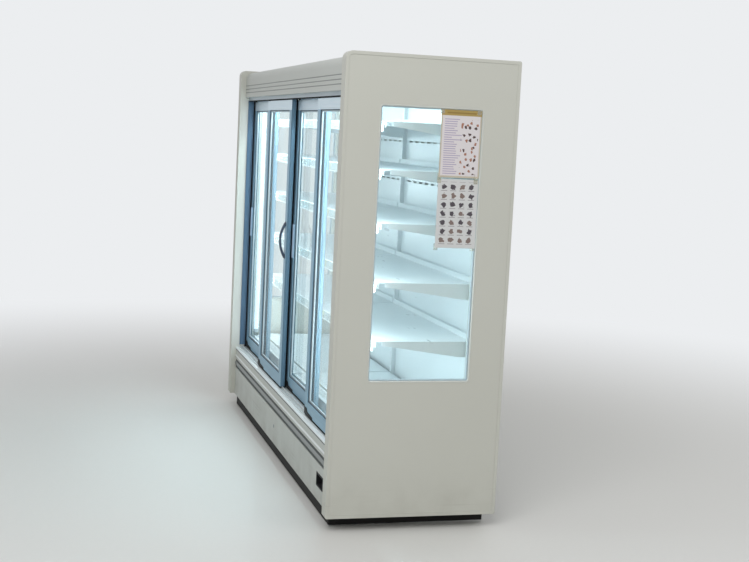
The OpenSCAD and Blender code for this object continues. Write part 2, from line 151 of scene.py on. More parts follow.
# %% Trees of nodes
class Nodes:
    """A tree of nodes, and the node that shows its result."""

    def __init__(self, tree, output):
        self.tree = tree
        self.output = tree.nodes[output]

    def feed(self, node, sockets):
        for socket, value in sockets.items():
            if isinstance(value, Wire):
                self.tree.links.new(value.socket, node.inputs[socket])
            else:
                node.inputs[socket].default_value = value

    def node(self, kind, settings=None, sockets=None, out=0):
        made = self.tree.nodes.new(kind)
        for name, value in (settings or {}).items():
            setattr(made, name, value)
        self.feed(made, sockets or {})
        return Wire(self, made.outputs[out])

    def show_mix(self, mask, first, second):
        """Shows the first shader where the mask is 0 and the second where it is 1."""
        both = self.node("ShaderNodeMixShader", None, {0: mask, 1: first, 2: second})
        self.feed(self.output, {"Surface": both})

    def backdrop_rays(self):
        """1 for a ray from the camera, a mirror or clear glass, and 0 for one that brings light."""
        camera, mirror, glass = [self.node("ShaderNodeLightPath", out=f"Is {kind} Ray")
                                 for kind in ("Camera", "Glossy", "Transmission")]
        return camera + mirror + glass


# %% [markdown]
# A Finish is a material under construction. Patterns use the Object coordinates of a
# piece, which are metres here, so a grain of half a millimetre is that on every piece.
# UV maps would need unwrapping first, and would stretch.

# %% Materials under construction
class Finish(Nodes):
    """A material, its nodes and its Principled shader."""

    def __init__(self, name, roughness=0.5, metallic=0.0):
        self.material = bpy.data.materials.new(name)
        self.material.use_nodes = True
        super().__init__(self.material.node_tree, "Material Output")
        self.shader = self.tree.nodes["Principled BSDF"]
        self.shade({"Roughness": roughness, "Metallic": metallic})

    def shade(self, sockets):
        self.feed(self.shader, sockets)

    def mix(self, mask, first, second):
        return self.node("ShaderNodeMix", {"data_type": "RGBA"}, {0: mask, 6: first, 7: second}, out=2)

    def part(self, vector, name):
        """One of the three numbers of a vector or colour, by the name of its axis."""
        return self.node("ShaderNodeSeparateXYZ", None, {0: vector}, out=name)

    def place(self, stretch=(1, 1, 1)):
        """Where a point is on its own piece, in metres, with each axis stretched."""
        spot = self.node("ShaderNodeTexCoord", out="Object")
        return self.node("ShaderNodeVectorMath", {"operation": "MULTIPLY"}, {0: spot, 1: stretch})

    def axis(self, name):
        return self.part(self.place(), name)

    def noise(self, scale, detail, stretch=(1, 1, 1)):
        return self.node("ShaderNodeTexNoise", None,
                         {"Vector": self.place(stretch), "Scale": scale, "Detail": detail})

    def relief(self, height, depth, edge=0.0):
        """Feeds a bump to the shader, over edges rounded by that radius."""
        sockets = {"Height": height, "Distance": depth, "Strength": 1.0}
        if edge:
            sockets["Normal"] = self.node("ShaderNodeBevel", {"samples": 4}, {"Radius": edge})
        self.shade({"Normal": self.node("ShaderNodeBump", None, sockets)})


# %% [markdown]
# Colours are written here as a screen shows them, from 0 to 255, but shaders count light
# itself. The curve between the two is the one that all screens share, so a small
# function does it once and every colour below can be read off a colour picker.

# %% Colours
WHITE = (1, 1, 1, 1)


def tone(red, green, blue):
    """A colour written as on a screen, in the linear values that shaders use."""
    def straight(value):
        value = value / 255
        return value / 12.92 if value <= 0.04045 else ((value + 0.055) / 1.055) ** 2.4
    return (straight(red), straight(green), straight(blue), 1.0)


print("a mid grey of 128 is", round(tone(128, 128, 128)[0], 3), "in linear light")

# %% [markdown]
# The floor is a pale sheet that fades into the background, so no horizon cuts the view.
# It could be a curved studio sweep, but that would block the view from some sides.

# %% Floor
BACKDROP = tone(236, 238, 240)
FLOOR_TONE = tone(226, 226, 223)
FLOOR_SPECK = tone(216, 216, 212)
FADE_FROM = 1.5
FADE_TO = 6.0
FLOOR_REACH = 60
FLOOR_SIDES = 96


def pale_floor():
    finish = Finish("floor_sheet", roughness=0.55)
    distance = finish.node("ShaderNodeVectorMath", {"operation": "LENGTH"}, {0: finish.place()},
                           out="Value")
    speckle = finish.noise(60, 4)
    finish.shade({"Base Color": finish.mix(speckle * 0.3, FLOOR_TONE, FLOOR_SPECK),
                  "Specular IOR Level": 0.25})
    glow = finish.node("ShaderNodeEmission", None, {"Color": BACKDROP, "Strength": 1.0})
    fade = distance.step(FADE_FROM, FADE_TO) * finish.backdrop_rays()
    finish.show_mix(fade, Wire(finish, finish.shader.outputs[0]), glow)
    return finish.material


def full_turn(steps):
    """The angles of that many points round a circle."""
    return [2 * math.pi * i / steps for i in range(steps)]


floor_mesh = bpy.data.meshes.new("floor")
rim = [(FLOOR_REACH * math.cos(a), FLOOR_REACH * math.sin(a), 0) for a in full_turn(FLOOR_SIDES)]
floor_mesh.from_pydata(rim, [], [list(range(FLOOR_SIDES))])
floor_mesh.materials.append(pale_floor())
floor = bpy.data.objects.new("floor", floor_mesh)
scene.collection.objects.link(floor)
print("floor fades out from", FADE_FROM, "to", FADE_TO, "m")

# %% [markdown]
# The world gives plain light from all around. A picture of a studio could light the
# cabinet too, but it would colour it. The camera, mirrors and glass see a clean pale
# backdrop instead of that light, so metal and glass reflect the same background.

# %% World
WORLD_LIGHT = 0.45


def studio_world():
    world = bpy.data.worlds.new("studio")
    world.use_nodes = True
    sky = Nodes(world.node_tree, "World Output")
    light = sky.tree.nodes["Background"]
    sky.feed(light, {"Color": WHITE, "Strength": WORLD_LIGHT})
    backdrop = sky.node("ShaderNodeBackground", None, {"Color": BACKDROP})
    sky.show_mix(sky.backdrop_rays(), Wire(sky, light.outputs[0]), backdrop)
    return world


scene.world = studio_world()
scene.view_settings.view_transform = "Standard"
print("world light:", WORLD_LIGHT)

# %% [markdown]
# Soft studio light comes from three large area lamps: one over the aisle, one lower on
# the side of the near end and a weak one behind. Large lamps make soft shadows, where a
# point or a sun would cut hard ones.

# %% Studio lamps
STUDIO_LAMPS = {
    "key_lamp": {"place": (4.2, -2.0, 4.4), "towards": (0.4, 0, 0.9), "size": (3.2, 3.2), "watts": 105},
    "fill_lamp": {"place": (4.0, 3.2, 2.6), "towards": (0.9, 0, 0.9), "size": (2.6, 2.6), "watts": 18},
    "back_lamp": {"place": (-2.6, 4.0, 3.2), "towards": (-0.3, 0, 0.9), "size": (2.6, 2.6), "watts": 26}}


def area_lamp(name, place, towards, size, watts, colour=(1, 1, 1), mirrored=True):
    data = bpy.data.lights.new(name, "AREA")
    data.shape = "RECTANGLE"
    data.size, data.size_y = size
    data.energy = watts
    data.color = colour
    lamp = bpy.data.objects.new(name, data)
    lamp.location = place
    lamp.rotation_euler = (Vector(towards) - Vector(place)).to_track_quat("-Z", "Y").to_euler()
    lamp.visible_camera = False
    lamp.visible_glossy = mirrored
    scene.collection.objects.link(lamp)
    return lamp


for name, facts in STUDIO_LAMPS.items():
    area_lamp(name, **facts)
print("studio lamps:", len(STUDIO_LAMPS))

# %% [markdown]
# The cabinet's own lamps are strips, so narrow area lamps beside them throw the cool
# light over the shelves. Two wide ones just behind the doors stand for what the tubes
# scatter, into the cabinet and out of it, and a small one with a narrow beam brightens
# the far end panel's inner edge. The glowing covers alone could do it, but small bright
# faces make a grainy picture.

# %% The cabinet's own light
COOL = (0.80, 0.95, 1.0)
BLUE = (0.74, 0.83, 1.0)
HEADER_WATTS = 16
STRIP_WATTS = 5
BAY_WATTS = 14
SPILL_WATTS = 11
REVEAL_WATTS = 0.5
REVEAL_SPREAD = 26
SHELF_SPAN = 2.3
STRIP_SPAN = 1.3
STRIP_MIDDLE = 1.13
STRIP_INSET = 0.022
TUBE_WIDTH = 0.03
TUBE_GAP = 0.004
REVEAL_FROM, REVEAL_TO = -0.6, -1.3
REVEAL_HEIGHT = 1.08
REVEAL_SIZE = (0.05, 1.45)

lamp_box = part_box("lamp")
lamp_y = lamp_box[1].y + TUBE_GAP
area_lamp("header_light", (0, lamp_y, lamp_box[0].z - TUBE_GAP), (0, lamp_y + 0.12, 0.9),
          (SHELF_SPAN, TUBE_WIDTH), HEADER_WATTS, COOL)
strip_low, strip_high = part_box("light_strips")
for side in (-1, 1):
    x, y = side * (strip_high.x - STRIP_INSET), strip_high.y + TUBE_GAP
    strip = area_lamp(f"strip_light_{side + 2}", (x, y, STRIP_MIDDLE), (x - side, y + 0.9, STRIP_MIDDLE),
                      (STRIP_SPAN, TUBE_WIDTH), STRIP_WATTS, COOL)
    strip.rotation_euler.rotate_axis("Z", math.pi / 2)
for name, y, ahead, watts in (("bay_light", strip_high.y, 1, BAY_WATTS),
                              ("spill_light", strip_low.y, -1, SPILL_WATTS)):
    area_lamp(name, (0, y, STRIP_MIDDLE), (0, y + ahead, STRIP_MIDDLE), (SHELF_SPAN, STRIP_SPAN),
              watts, COOL, mirrored=False)
reveal_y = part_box("canopy")[0].y + 0.02
reveal = area_lamp("reveal_light", (REVEAL_FROM, reveal_y, REVEAL_HEIGHT),
                   (REVEAL_TO, reveal_y, REVEAL_HEIGHT), REVEAL_SIZE, REVEAL_WATTS, BLUE, mirrored=False)
reveal.data.spread = math.radians(REVEAL_SPREAD)

# %% [markdown]
# The outer sheets are steel with a baked powder coat, in a warm grey white. Its surface
# has a fine orange peel, its tone drifts a little over a metre, and dust and shoe marks
# gather near the floor. Along pressed grooves a darker line is painted shade, for the
# shadow that falls in them. Flat colour would look like plastic, so noise at three
# scales makes the drift, the peel and the scuffs, and the height over the floor guides them.

# %% Powder-coated sheet
PANEL_TONE = tone(203, 204, 195)
FRONT_TONE = tone(196, 200, 195)
DUST_TONE = tone(128, 122, 108)
PEEL_SCALE = 520
PEEL_DEPTH = 0.00006
SHEET_EDGE = 0.0018
SCUFF_REACH = 0.34
# painted shade: the tone of a darker line along pressed grooves, where their shadow falls
GROOVE_SHADE_TONE = tone(96, 102, 102)
GROOVE_SHADE_CORE = 0.0014
GROOVE_SHADE_EDGE = 0.0030


def powder_coat(name, colour, scuffs, grooves=()):
    """The grooves are the heights of pressed lines, where a darker line is painted shade."""
    finish = Finish(name)
    drift = finish.noise(1.7, 3)
    blotch = finish.noise(9, 5)
    low = (1 - finish.axis("Z").step(0.0, SCUFF_REACH)) * scuffs
    dust = blotch * blotch * low
    streak = finish.noise(1, 4, (3, 3, 90)).step(0.60, 0.74) * low * 0.5
    base = finish.mix(drift * 0.10, colour, DUST_TONE)
    base = finish.mix(dust + streak, base, DUST_TONE)
    # painted shade: a darker line along each pressed groove stands for the shadow that falls in it
    for groove in grooves:
        line = 1 - (finish.axis("Z") - groove).alone("ABSOLUTE").step(GROOVE_SHADE_CORE, GROOVE_SHADE_EDGE)
        base = finish.mix(line * 0.8, base, GROOVE_SHADE_TONE)
    finish.shade({"Base Color": base, "Roughness": 0.36 + drift * 0.10 + dust * 0.5,
                  "Specular IOR Level": 0.45})
    finish.relief(finish.noise(PEEL_SCALE, 1), PEEL_DEPTH, SHEET_EDGE)
    return finish.material


# %% [markdown]
# Inside, the liner, shelves and posts have a smoother white enamel, wiped clean every
# day. It mirrors more than the outside, so only a faint haze breaks up its gloss.

# %% White enamel
ENAMEL_TONE = tone(226, 231, 233)
ENAMEL_HAZE = tone(196, 203, 206)


def white_enamel(name):
    finish = Finish(name)
    haze = finish.noise(6, 4)
    wipes = finish.noise(1, 3, (4, 60, 60))
    finish.shade({"Base Color": finish.mix(haze * 0.12, ENAMEL_TONE, ENAMEL_HAZE),
                  "Roughness": 0.22 + haze * 0.10 + wipes * 0.06})
    finish.relief(finish.noise(420, 1), 0.00003, 0.0008)
    return finish.material


# %% [markdown]
# Door frames and tracks are drawn aluminium, anodised to a cool grey. Drawing leaves
# hairlines along each bar. A noise squeezed hard across the bar and let long along it
# gives them; stiles run upwards and rails sideways, so a mask by height swaps the two.
# Over the stiles the top rails are painted almost white: painted light, for the lit
# inside of the cabinet that shows under the canopy.

# %% Anodised aluminium
FRAME_TONE = tone(154, 194, 216)
# painted light: near-white tone of the doors' top rails, for the lit inside seen under the canopy
PAINTED_LIGHT_HEAD_TONE = tone(228, 240, 246)
TRACK_TONE = tone(88, 118, 142)
HEAD_TRACK_TONE = tone(196, 208, 214)
BUMPER_TONE = tone(161, 164, 161)
HAIR_TONE = tone(92, 104, 114)
HAIR_FINE = 900
HAIR_LONG = 5
HAIR_ALONG_X = (HAIR_LONG, HAIR_FINE, HAIR_FINE)
HAIR_ALONG_Z = (HAIR_FINE, HAIR_FINE, HAIR_LONG)


def anodised(name, colour, roughness, upright=None):
    """Brushed along X, or along Z between the two heights in upright; over them the bars are painted near
    white, painted light for the lit inside under the canopy.
    """
    finish = Finish(name, metallic=0.55)
    hair = finish.noise(1, 3, HAIR_ALONG_X)
    shade = HAIR_TONE
    if upright:
        height = finish.axis("Z")
        above = height > upright[1]
        between = (height > upright[0]) * (height < upright[1])
        hair = hair * (1 - between) + finish.noise(1, 3, HAIR_ALONG_Z) * between
        # painted light: over the stiles the top rails get a near-white colour and hairline shade
        colour = finish.mix(above, colour, PAINTED_LIGHT_HEAD_TONE)
        shade = finish.mix(above, shade, FRAME_TONE)
    cloud = finish.noise(3, 3)
    finish.shade({"Base Color": finish.mix(hair * 0.5, colour, shade),
                  "Roughness": roughness + hair * 0.16 + cloud * 0.08})
    finish.relief(hair, 0.00004, 0.0012)
    return finish.material


# %% [markdown]
# The small parts need their own surfaces: black sheet and moulded plastic with a fine
# grain, zinc with its frost flowers, rubber with a dusty bloom and glossy white plastic.
# Each is a short recipe of one pattern, one colour range and one relief.

# %% Moulded, rubber and zinc parts
BLACK = tone(24, 24, 26)
SOFT_BLACK = tone(38, 39, 42)


def moulded(name, colour, worn, roughness, gloss=0.5, grain=700, depth=0.00005):
    finish = Finish(name)
    cloud = finish.noise(5, 4)
    finish.shade({"Base Color": finish.mix(cloud * 0.45, colour, worn),
                  "Roughness": roughness + cloud * 0.14, "Specular IOR Level": gloss})
    finish.relief(finish.noise(grain, 2), depth, 0.001)
    return finish.material


def rubber(name, colour, worn, roughness=0.60):
    return moulded(name, colour, worn, roughness, 0.3, 300, 0.00008)


def zinc_plate(name):
    finish = Finish(name, metallic=0.9)
    flower = finish.node("ShaderNodeTexVoronoi", {"feature": "F1"},
                         {"Vector": finish.place(), "Scale": 55.0}, out="Color")
    shade = finish.part(flower, "X")
    finish.shade({"Base Color": finish.mix(shade, tone(132, 138, 141), tone(170, 176, 178)),
                  "Roughness": 0.34 + shade * 0.22})
    finish.relief(finish.noise(200, 2), 0.00003, 0.001)
    return finish.material


# %% [markdown]
# Clear glass could be traced as a solid, but two panes between four doors and two
# windows make such a picture slow and dark. A mix of a Transparent and a Glossy shader
# does the same job: Fresnel makes it mirror more as the view grows slanted, and faint
# smears near hand height add a little more.

# %% Glass
GLASS_TINT = tone(249, 253, 253)
GLASS_IOR = 1.30
MIRROR_SHARE = 0.30
HAND_LOW = 0.95
HAND_HIGH = 1.30
HAND_FADE = 0.25


def clear_sheet(finish, tint, roughness, ior, share, smears):
    """A clear sheet that mirrors by that share of Fresnel and a little more where it is smeared."""
    clear = finish.node("ShaderNodeBsdfTransparent", None, {"Color": tint})
    gloss = finish.node("ShaderNodeBsdfGlossy", None, {"Color": WHITE, "Roughness": roughness})
    mirror = finish.node("ShaderNodeFresnel", None, {"IOR": ior})
    finish.show_mix(mirror * share + smears, clear, gloss)
    return finish.material


def clear_glass(name):
    finish = Finish(name)
    height = finish.axis("Z")
    over_hands = height.step(HAND_HIGH, HAND_HIGH + HAND_FADE)
    hands = height.step(HAND_LOW - HAND_FADE, HAND_LOW) * (1 - over_hands)
    smears = finish.noise(14, 5).step(0.56, 0.80) * hands * 0.03
    return clear_sheet(finish, GLASS_TINT, 0.03, GLASS_IOR, MIRROR_SHARE, smears)


# %% [markdown]
# A lamp cover glows evenly, and dims towards the sockets at its ends. The glow is only
# just brighter than white, because the area lamps carry the light.

# %% Lamp covers
GLOW = 1.25
LAMP_REACH = 1.23
LAMP_DIMS = 0.08


def lamp_cover(name):
    finish = Finish(name, roughness=0.3)
    ends = 1 - finish.axis("X").alone("ABSOLUTE").step(LAMP_REACH - LAMP_DIMS, LAMP_REACH)
    finish.shade({"Base Color": tone(232, 238, 242),
                  "Emission Color": finish.mix(ends, tone(206, 222, 235), tone(240, 249, 255)),
                  "Emission Strength": GLOW})
    return finish.material


# %% [markdown]
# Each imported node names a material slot, such as outer_paint, so one table of recipes
# under the names of those slots dresses the whole cabinet. A node could be given its
# material one by one, but then two panels of the same sheet could drift apart.

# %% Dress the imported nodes
GRIP = 0.008
PANE_LOW, PANE_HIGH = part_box("door_1_glass")
STILES = (PANE_LOW.z + GRIP, PANE_HIGH.z - GRIP)

RECIPES = {
    "outer_paint": (powder_coat, FRONT_TONE, 0.7),
    "panel_paint": (powder_coat, PANEL_TONE, 0.4),
    "inner_paint": (white_enamel,),
    "black_sheet": (moulded, BLACK, tone(52, 50, 45), 0.60, 0.2),
    "black_plastic": (moulded, BLACK, SOFT_BLACK, 0.55, 0.25),
    "zinc_steel": (zinc_plate,),
    "grey_profile": (anodised, BUMPER_TONE, 0.42),
    "sill_white": (moulded, tone(238, 243, 244), tone(214, 219, 219), 0.24),
    "track_aluminium": (anodised, TRACK_TONE, 0.34),
    # the door frames' top rails are painted pale here, painted light
    "door_aluminium": (anodised, FRAME_TONE, 0.30, STILES),
    "white_plastic": (moulded, tone(228, 232, 233), tone(208, 213, 214), 0.30),
    "window_rubber": (moulded, tone(212, 214, 208), tone(192, 194, 188), 0.6),
    "dark_pull": (moulded, tone(50, 62, 80), tone(76, 90, 108), 0.26),
    # painted highlight: the back doors' pulls are the dark pull plastic, painted paler for the light of
    # the lit glass on them
    "light_pull": (moulded, tone(146, 168, 190), tone(116, 136, 158), 0.26),
    "clear_glass": (clear_glass,),
    "lamp_cover": (lamp_cover,)}
slot_finish = {name: recipe(name, *values) for name, (recipe, *values) in RECIPES.items()}

for part in frame["record"]["subparts"]:
    slots = frame["nodes"][part["node"]].data.materials
    slots.clear()
    slots.append(slot_finish[part["material_slot"]])
print("finishes:", len(slot_finish))

# %% [markdown]
# The lower track lies on the sill and is as pale as the sill, while the two upright
# channels beside the doors, which belong to the same node, are dark. One material with
# a step at the height where the channels start keeps them in one piece, and no face has
# to be picked by hand. The upper track is pale too, and painted shade darkens the three
# grooves pressed into the canopy.

# %% Tracks, channels and canopy
CHANNEL_LOW = 0.3608
CANOPY_GROOVES = (1.871, 1.891, 1.911)


def track_finish(name):
    finish = Finish(name, metallic=0.3)
    hair = finish.noise(1, 3, HAIR_ALONG_X)
    upper = finish.axis("Z") > CHANNEL_LOW
    grime = finish.noise(25, 5).step(0.50, 0.75) * 0.35
    pale = finish.mix(grime, tone(206, 211, 212), tone(150, 152, 150))
    dark = finish.mix(hair * 0.4, TRACK_TONE, tone(104, 120, 134))
    finish.shade({"Base Color": finish.mix(upper, pale, dark),
                  "Roughness": 0.32 + grime * 0.4 + hair * 0.1})
    finish.relief(hair, 0.00003, 0.0006)
    return finish.material


own_finish = {"lower_track": track_finish("track_and_channels"),
              "upper_track": anodised("head_track", HEAD_TRACK_TONE, 0.34),
              # the canopy's three grooves get painted shade lines
              "canopy": powder_coat("canopy_paint", FRONT_TONE, 0.7, CANOPY_GROOVES)}
for node, finish in own_finish.items():
    frame["nodes"][node].data.materials[0] = finish
print("channels start at", CHANNEL_LOW, "m")

# %% [markdown]
# Every added piece is a mesh from a few small tools. A bmesh collects the faces, a piece
# rides on the body that carries it, and edges flatter than a limit are shaded smooth.
# Modifiers could round and repeat things too, but plain vertices keep the sizes exact.

# %% Finished pieces
SMOOTH_LIMIT = math.radians(35)


def finish_piece(name, bm, body, slot, finish=None):
    """Turns a bmesh into a piece that rides on a body, in its slot's finish or in its own."""
    bmesh.ops.remove_doubles(bm, verts=bm.verts, dist=0.000001)
    bmesh.ops.recalc_face_normals(bm, faces=bm.faces)
    for face in bm.faces:
        face.smooth = True
    for edge in bm.edges:
        edge.smooth = edge.calc_face_angle(math.pi) < SMOOTH_LIMIT
    mesh = bpy.data.meshes.new(name)
    bm.to_mesh(mesh)
    bm.free()
    mesh.materials.append(finish or slot_finish[slot])
    piece = bpy.data.objects.new(name, mesh)
    scene.collection.objects.link(piece)
    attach(piece, body)
    return piece


# %% [markdown]
# Beads, gaskets and rims all run round a rectangle. Each is a stack of loops: every
# loop has as many points as its neighbour, so a skin of four-sided faces joins them. A
# profile of a few points gives the cross-section, and a small function says on which
# face of the cabinet the loops lie.

# %% Loops and rings
def rounded_loop(low, high, radius, inset, steps):
    """Points round a rectangle with round corners, pulled in by inset."""
    u0, v0, u1, v1 = low[0] + inset, low[1] + inset, high[0] - inset, high[1] - inset
    if radius == 0:
        return [(u0, v0), (u1, v0), (u1, v1), (u0, v1)]
    r = max(radius - inset, 0.0003)
    corners = [(u1 - r, v0 + r), (u1 - r, v1 - r), (u0 + r, v1 - r), (u0 + r, v0 + r)]
    points = []
    for number, (u, v) in enumerate(corners):
        for k in range(steps + 1):
            turn = math.pi / 2 * (number - 1 + k / steps)
            points.append((u + r * math.cos(turn), v + r * math.sin(turn)))
    return points


def skin(bm, loops, closed=True):
    """Faces between loops of equally many points, and with closed from the last to the first."""
    rows = [[bm.verts.new(point) for point in loop] for loop in loops]
    count = len(rows[0])
    for a, b in zip(rows, rows[1:] + rows[:1] if closed else rows[1:]):
        for j in range(count):
            k = (j + 1) % count
            bm.faces.new((a[j], a[k], b[k], b[j]))
    return rows


def frame_ring(bm, low, high, radius, profile, place, steps=8):
    """A bead round a rectangle: profile is a closed list of (inset, height) points."""
    skin(bm, [[place(u, v, height) for u, v in rounded_loop(low, high, radius, inset, steps)]
              for inset, height in profile])


def on_front(y, outward=-1):
    """Places a plane's (u, v, height) as X, Z and Y, with height measured out of the front."""
    return lambda u, v, height: Vector((u, y + outward * height, v))


def on_end(x, outward):
    return lambda u, v, height: Vector((x + outward * height, u, v))


# %% [markdown]
# The other shapes are turned parts, bars and runs. A turned part is a profile that goes
# round an axis, as on a lathe. A run is one outline drawn along an axis and capped, which
# is how brushes, seals and aluminium profiles are made in reality.

# %% Turned parts, bars and runs
PAN_HEAD = [(0.0011, 0.0006), (0.0012, 0.0013), (0.0026, 0.0011), (0.0036, 0.0005), (0.0038, 0.0)]
RUN_PLACES = {"X": lambda a, b, along: (along, a, b),
              "Y": lambda a, b, along: (a, along, b),
              "Z": lambda a, b, along: (a, b, along)}


def capped(bm, loops):
    """A skin over a row of loops, closed by a face at each end."""
    rows = skin(bm, loops, closed=False)
    bm.faces.new(rows[0])
    bm.faces.new(rows[-1])


def turned(bm, profile, centre, axis, steps):
    """A turned shape: profile lists (radius, height) from the tip to the foot, along axis."""
    axis = Vector(axis)
    side = axis.orthogonal().normalized()
    other = axis.cross(side)
    capped(bm, [[Vector(centre) + axis * height + (side * math.cos(a) + other * math.sin(a)) * radius
                 for a in full_turn(steps)] for radius, height in profile])


def bar(bm, low, high, radius):
    """A block with bevelled edges between two corners."""
    made = bmesh.ops.create_cube(bm, size=1.0)["verts"]
    for vert in made:
        vert.co = [a + (v + 0.5) * (b - a) for a, b, v in zip(low, high, vert.co)]
    edges = list({edge for vert in made for edge in vert.link_edges})
    bmesh.ops.bevel(bm, geom=edges, offset=radius, segments=1, affect="EDGES", profile=0.5)


def run(bm, outline, start, end, axis="X"):
    """A closed outline in the two other axes, run from start to end along an axis and capped."""
    place = RUN_PLACES[axis]
    capped(bm, [[place(a, b, along) for a, b in outline] for along in (start, end)])


def arc(steps, span=math.pi):
    """The sine and cosine at each step of a turn from 0 to span."""
    turns = [span * k / steps for k in range(steps + 1)]
    return [(math.sin(turn), math.cos(turn)) for turn in turns]


def screws(bm, centres, axis):
    for centre in centres:
        turned(bm, PAN_HEAD, centre, axis, steps=12)


print("tools ready, smooth below", round(math.degrees(SMOOTH_LIMIT)), "degrees")

# %% [markdown]
# A sliding door's double pane sits in a slate rubber bead on both faces, and between the
# two sheets of glass a pale metal spacer runs round the edge. Both are rings round the
# pane's opening. Sweeping a curve with a bevel would do, but a ring of mitred loops
# keeps sharp corners, as a cut and glued gasket has them.

# %% Door beads and spacers
DOORS = ["door_1", "door_2", "door_3", "door_4"]
BEAD_WIDTH = 0.0042
BEAD_LIFT = 0.0016
BEAD_LIP = [(0.0, 0.0), (0.0, BEAD_LIFT * 0.8), (BEAD_WIDTH * 0.35, BEAD_LIFT),
            (BEAD_WIDTH * 0.85, BEAD_LIFT * 0.45), (BEAD_WIDTH, 0.0)]
SPACER_HIDDEN = -0.003
SPACER_SHOWS = 0.009
SPACER_EDGE = 0.0012
PANE_SKIN = 0.004

bead_rubber = rubber("bead_rubber", tone(66, 84, 98), tone(88, 104, 116))
spacer_metal = anodised("spacer_metal", tone(222, 232, 238), 0.42)


def pane_opening(door):
    """The clear opening of a door's pane: lowest and highest corner, and the pane's two faces."""
    low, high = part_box(f"{door}_glass")
    return (low.x + GRIP, low.z + GRIP), (high.x - GRIP, high.z - GRIP), low.y, high.y


def spacer_bar(hidden, shows, depth, edge):
    """A spacer's profile, from its hidden side to the bevelled side that shows."""
    return [(hidden, 0.0), (hidden, depth), (shows, depth), (shows + edge, depth - edge),
            (shows + edge, edge), (shows, 0.0)]


def door_beads(door):
    low, high, front_y, back_y = pane_opening(door)
    bm = bmesh.new()
    frame_ring(bm, low, high, 0, BEAD_LIP, on_front(front_y, -1))
    frame_ring(bm, low, high, 0, BEAD_LIP, on_front(back_y, 1))
    finish_piece(f"{door}_beads", bm, door, "black_plastic", bead_rubber)


def door_spacer(door):
    low, high, front_y, back_y = pane_opening(door)
    profile = spacer_bar(SPACER_HIDDEN, SPACER_SHOWS, back_y - front_y - 2 * PANE_SKIN, SPACER_EDGE)
    bm = bmesh.new()
    frame_ring(bm, low, high, 0, profile, on_front(front_y + PANE_SKIN, 1))
    finish_piece(f"{door}_spacer", bm, door, "door_aluminium", spacer_metal)


for door in DOORS:
    door_beads(door)
    door_spacer(door)
print("pane opening:", [round(v, 3) for v in pane_opening("door_1")[0] + pane_opening("door_1")[1]])

# %% [markdown]
# Under each door black brushes close the gap to the sill, and at its left lower corner a
# black moulded shoe guides it. A brush is a run of one outline that is the same on both
# sides, so half of it is enough: how wide it is at its foot, its neck and its tip. The
# shoe is a wedge that grows thicker at the corner, so its side view is drawn point by
# point and given its thickness, and only the rim of its face is bevelled.

# %% Brushes and shoes
BRUSH_SET = 0.0026
BRUSH_INSET = 0.004
BRUSH_HALF = 0.0016
BRUSH_NECK = 0.002
BRUSH_TIP = 0.0008
SHOE_SIDE = [(0.0005, -0.003), (0.165, -0.003), (0.165, 0.007), (0.159, 0.010), (0.062, 0.014),
             (0.050, 0.026), (0.044, 0.030), (0.0005, 0.030)]
SHOE_PROUD = 0.0016
SHOE_SUNK = 0.0006
SHOE_RIM = 0.0009
brush_hair = moulded("brush_hair", tone(20, 21, 23), tone(46, 47, 50), 0.85, 0.2, 1500, 0.0003)
track_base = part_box("lower_track")[0].z + 0.003
brush_end = track_base + BRUSH_TIP


def brush_outline(half):
    """Both sides of a brush, from a list of (half width, reach) that goes from foot to tip."""
    return [(-wide, reach) for wide, reach in half] + [(wide, reach) for wide, reach in reversed(half)]


def door_brush(door):
    low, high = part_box(f"{door}_frame")
    outline = brush_outline([(BRUSH_HALF, 0.0), (BRUSH_HALF, BRUSH_NECK), (BRUSH_TIP, low.z - brush_end)])
    bm = bmesh.new()
    for middle in (low.y + BRUSH_SET, high.y - BRUSH_SET):
        run(bm, [(middle + y, low.z - reach) for y, reach in outline],
            low.x + BRUSH_INSET, high.x - BRUSH_INSET)
    finish_piece(f"{door}_brush", bm, door, "black_plastic", brush_hair)


def door_shoe(door):
    """A wedge of moulded plastic on the lower left corner, thick at the end of the rail."""
    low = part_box(f"{door}_frame")[0]
    face = low.y - SHOE_PROUD
    bm = bmesh.new()
    run(bm, [(low.x + x, low.z + z) for x, z in SHOE_SIDE], face, low.y + SHOE_SUNK, "Y")
    rim = [edge for edge in bm.edges if all(abs(v.co.y - face) < 0.0001 for v in edge.verts)]
    bmesh.ops.bevel(bm, geom=rim, offset=SHOE_RIM, segments=2, affect="EDGES", profile=0.5)
    finish_piece(f"{door}_shoe", bm, door, "black_plastic")


for door in DOORS:
    door_brush(door)
    door_shoe(door)
print("brush reaches down to", round(brush_end, 4), "m")

# %% [markdown]
# Where a door meets the next one or the end of its track, cold air must not leak. A soft
# grey bulb lies along the edges that meet. Its outline is a half circle, flattened a
# little as rubber is when it is pressed. Low pads on the upper corners keep a door from
# being lifted off its rail.

# %% Closing seals and head pads
BULB_HALF = 0.010
BULB_FOOT = 0.0105
BULB_SWELL = 0.0032
BULB_BASE = 0.0008
PAD_GAP = 0.0085
PAD_LENGTH = 0.024
PAD_REACH = 0.0095
PAD_CORNER = 0.003
PAD_LIP = 0.0015
seal_grey = rubber("seal_grey", tone(82, 110, 130), tone(104, 130, 148), 0.55)
track_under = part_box("upper_track")[0].z


def closing_seal(door, side):
    """A rubber bulb on a door's edge, with side -1 on the left and 1 on the right."""
    low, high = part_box(f"{door}_frame")
    edge = low.x if side < 0 else high.x
    middle = (low.y + high.y) / 2
    bulb = [(edge + side * (BULB_BASE + BULB_SWELL * s), middle + BULB_HALF * c) for s, c in arc(12)]
    bm = bmesh.new()
    run(bm, [(edge, middle + BULB_FOOT)] + bulb + [(edge, middle - BULB_FOOT)],
        low.z + 0.001, track_under - 0.0015, "Z")
    finish_piece(f"{door}_seal", bm, door, "black_plastic", seal_grey)


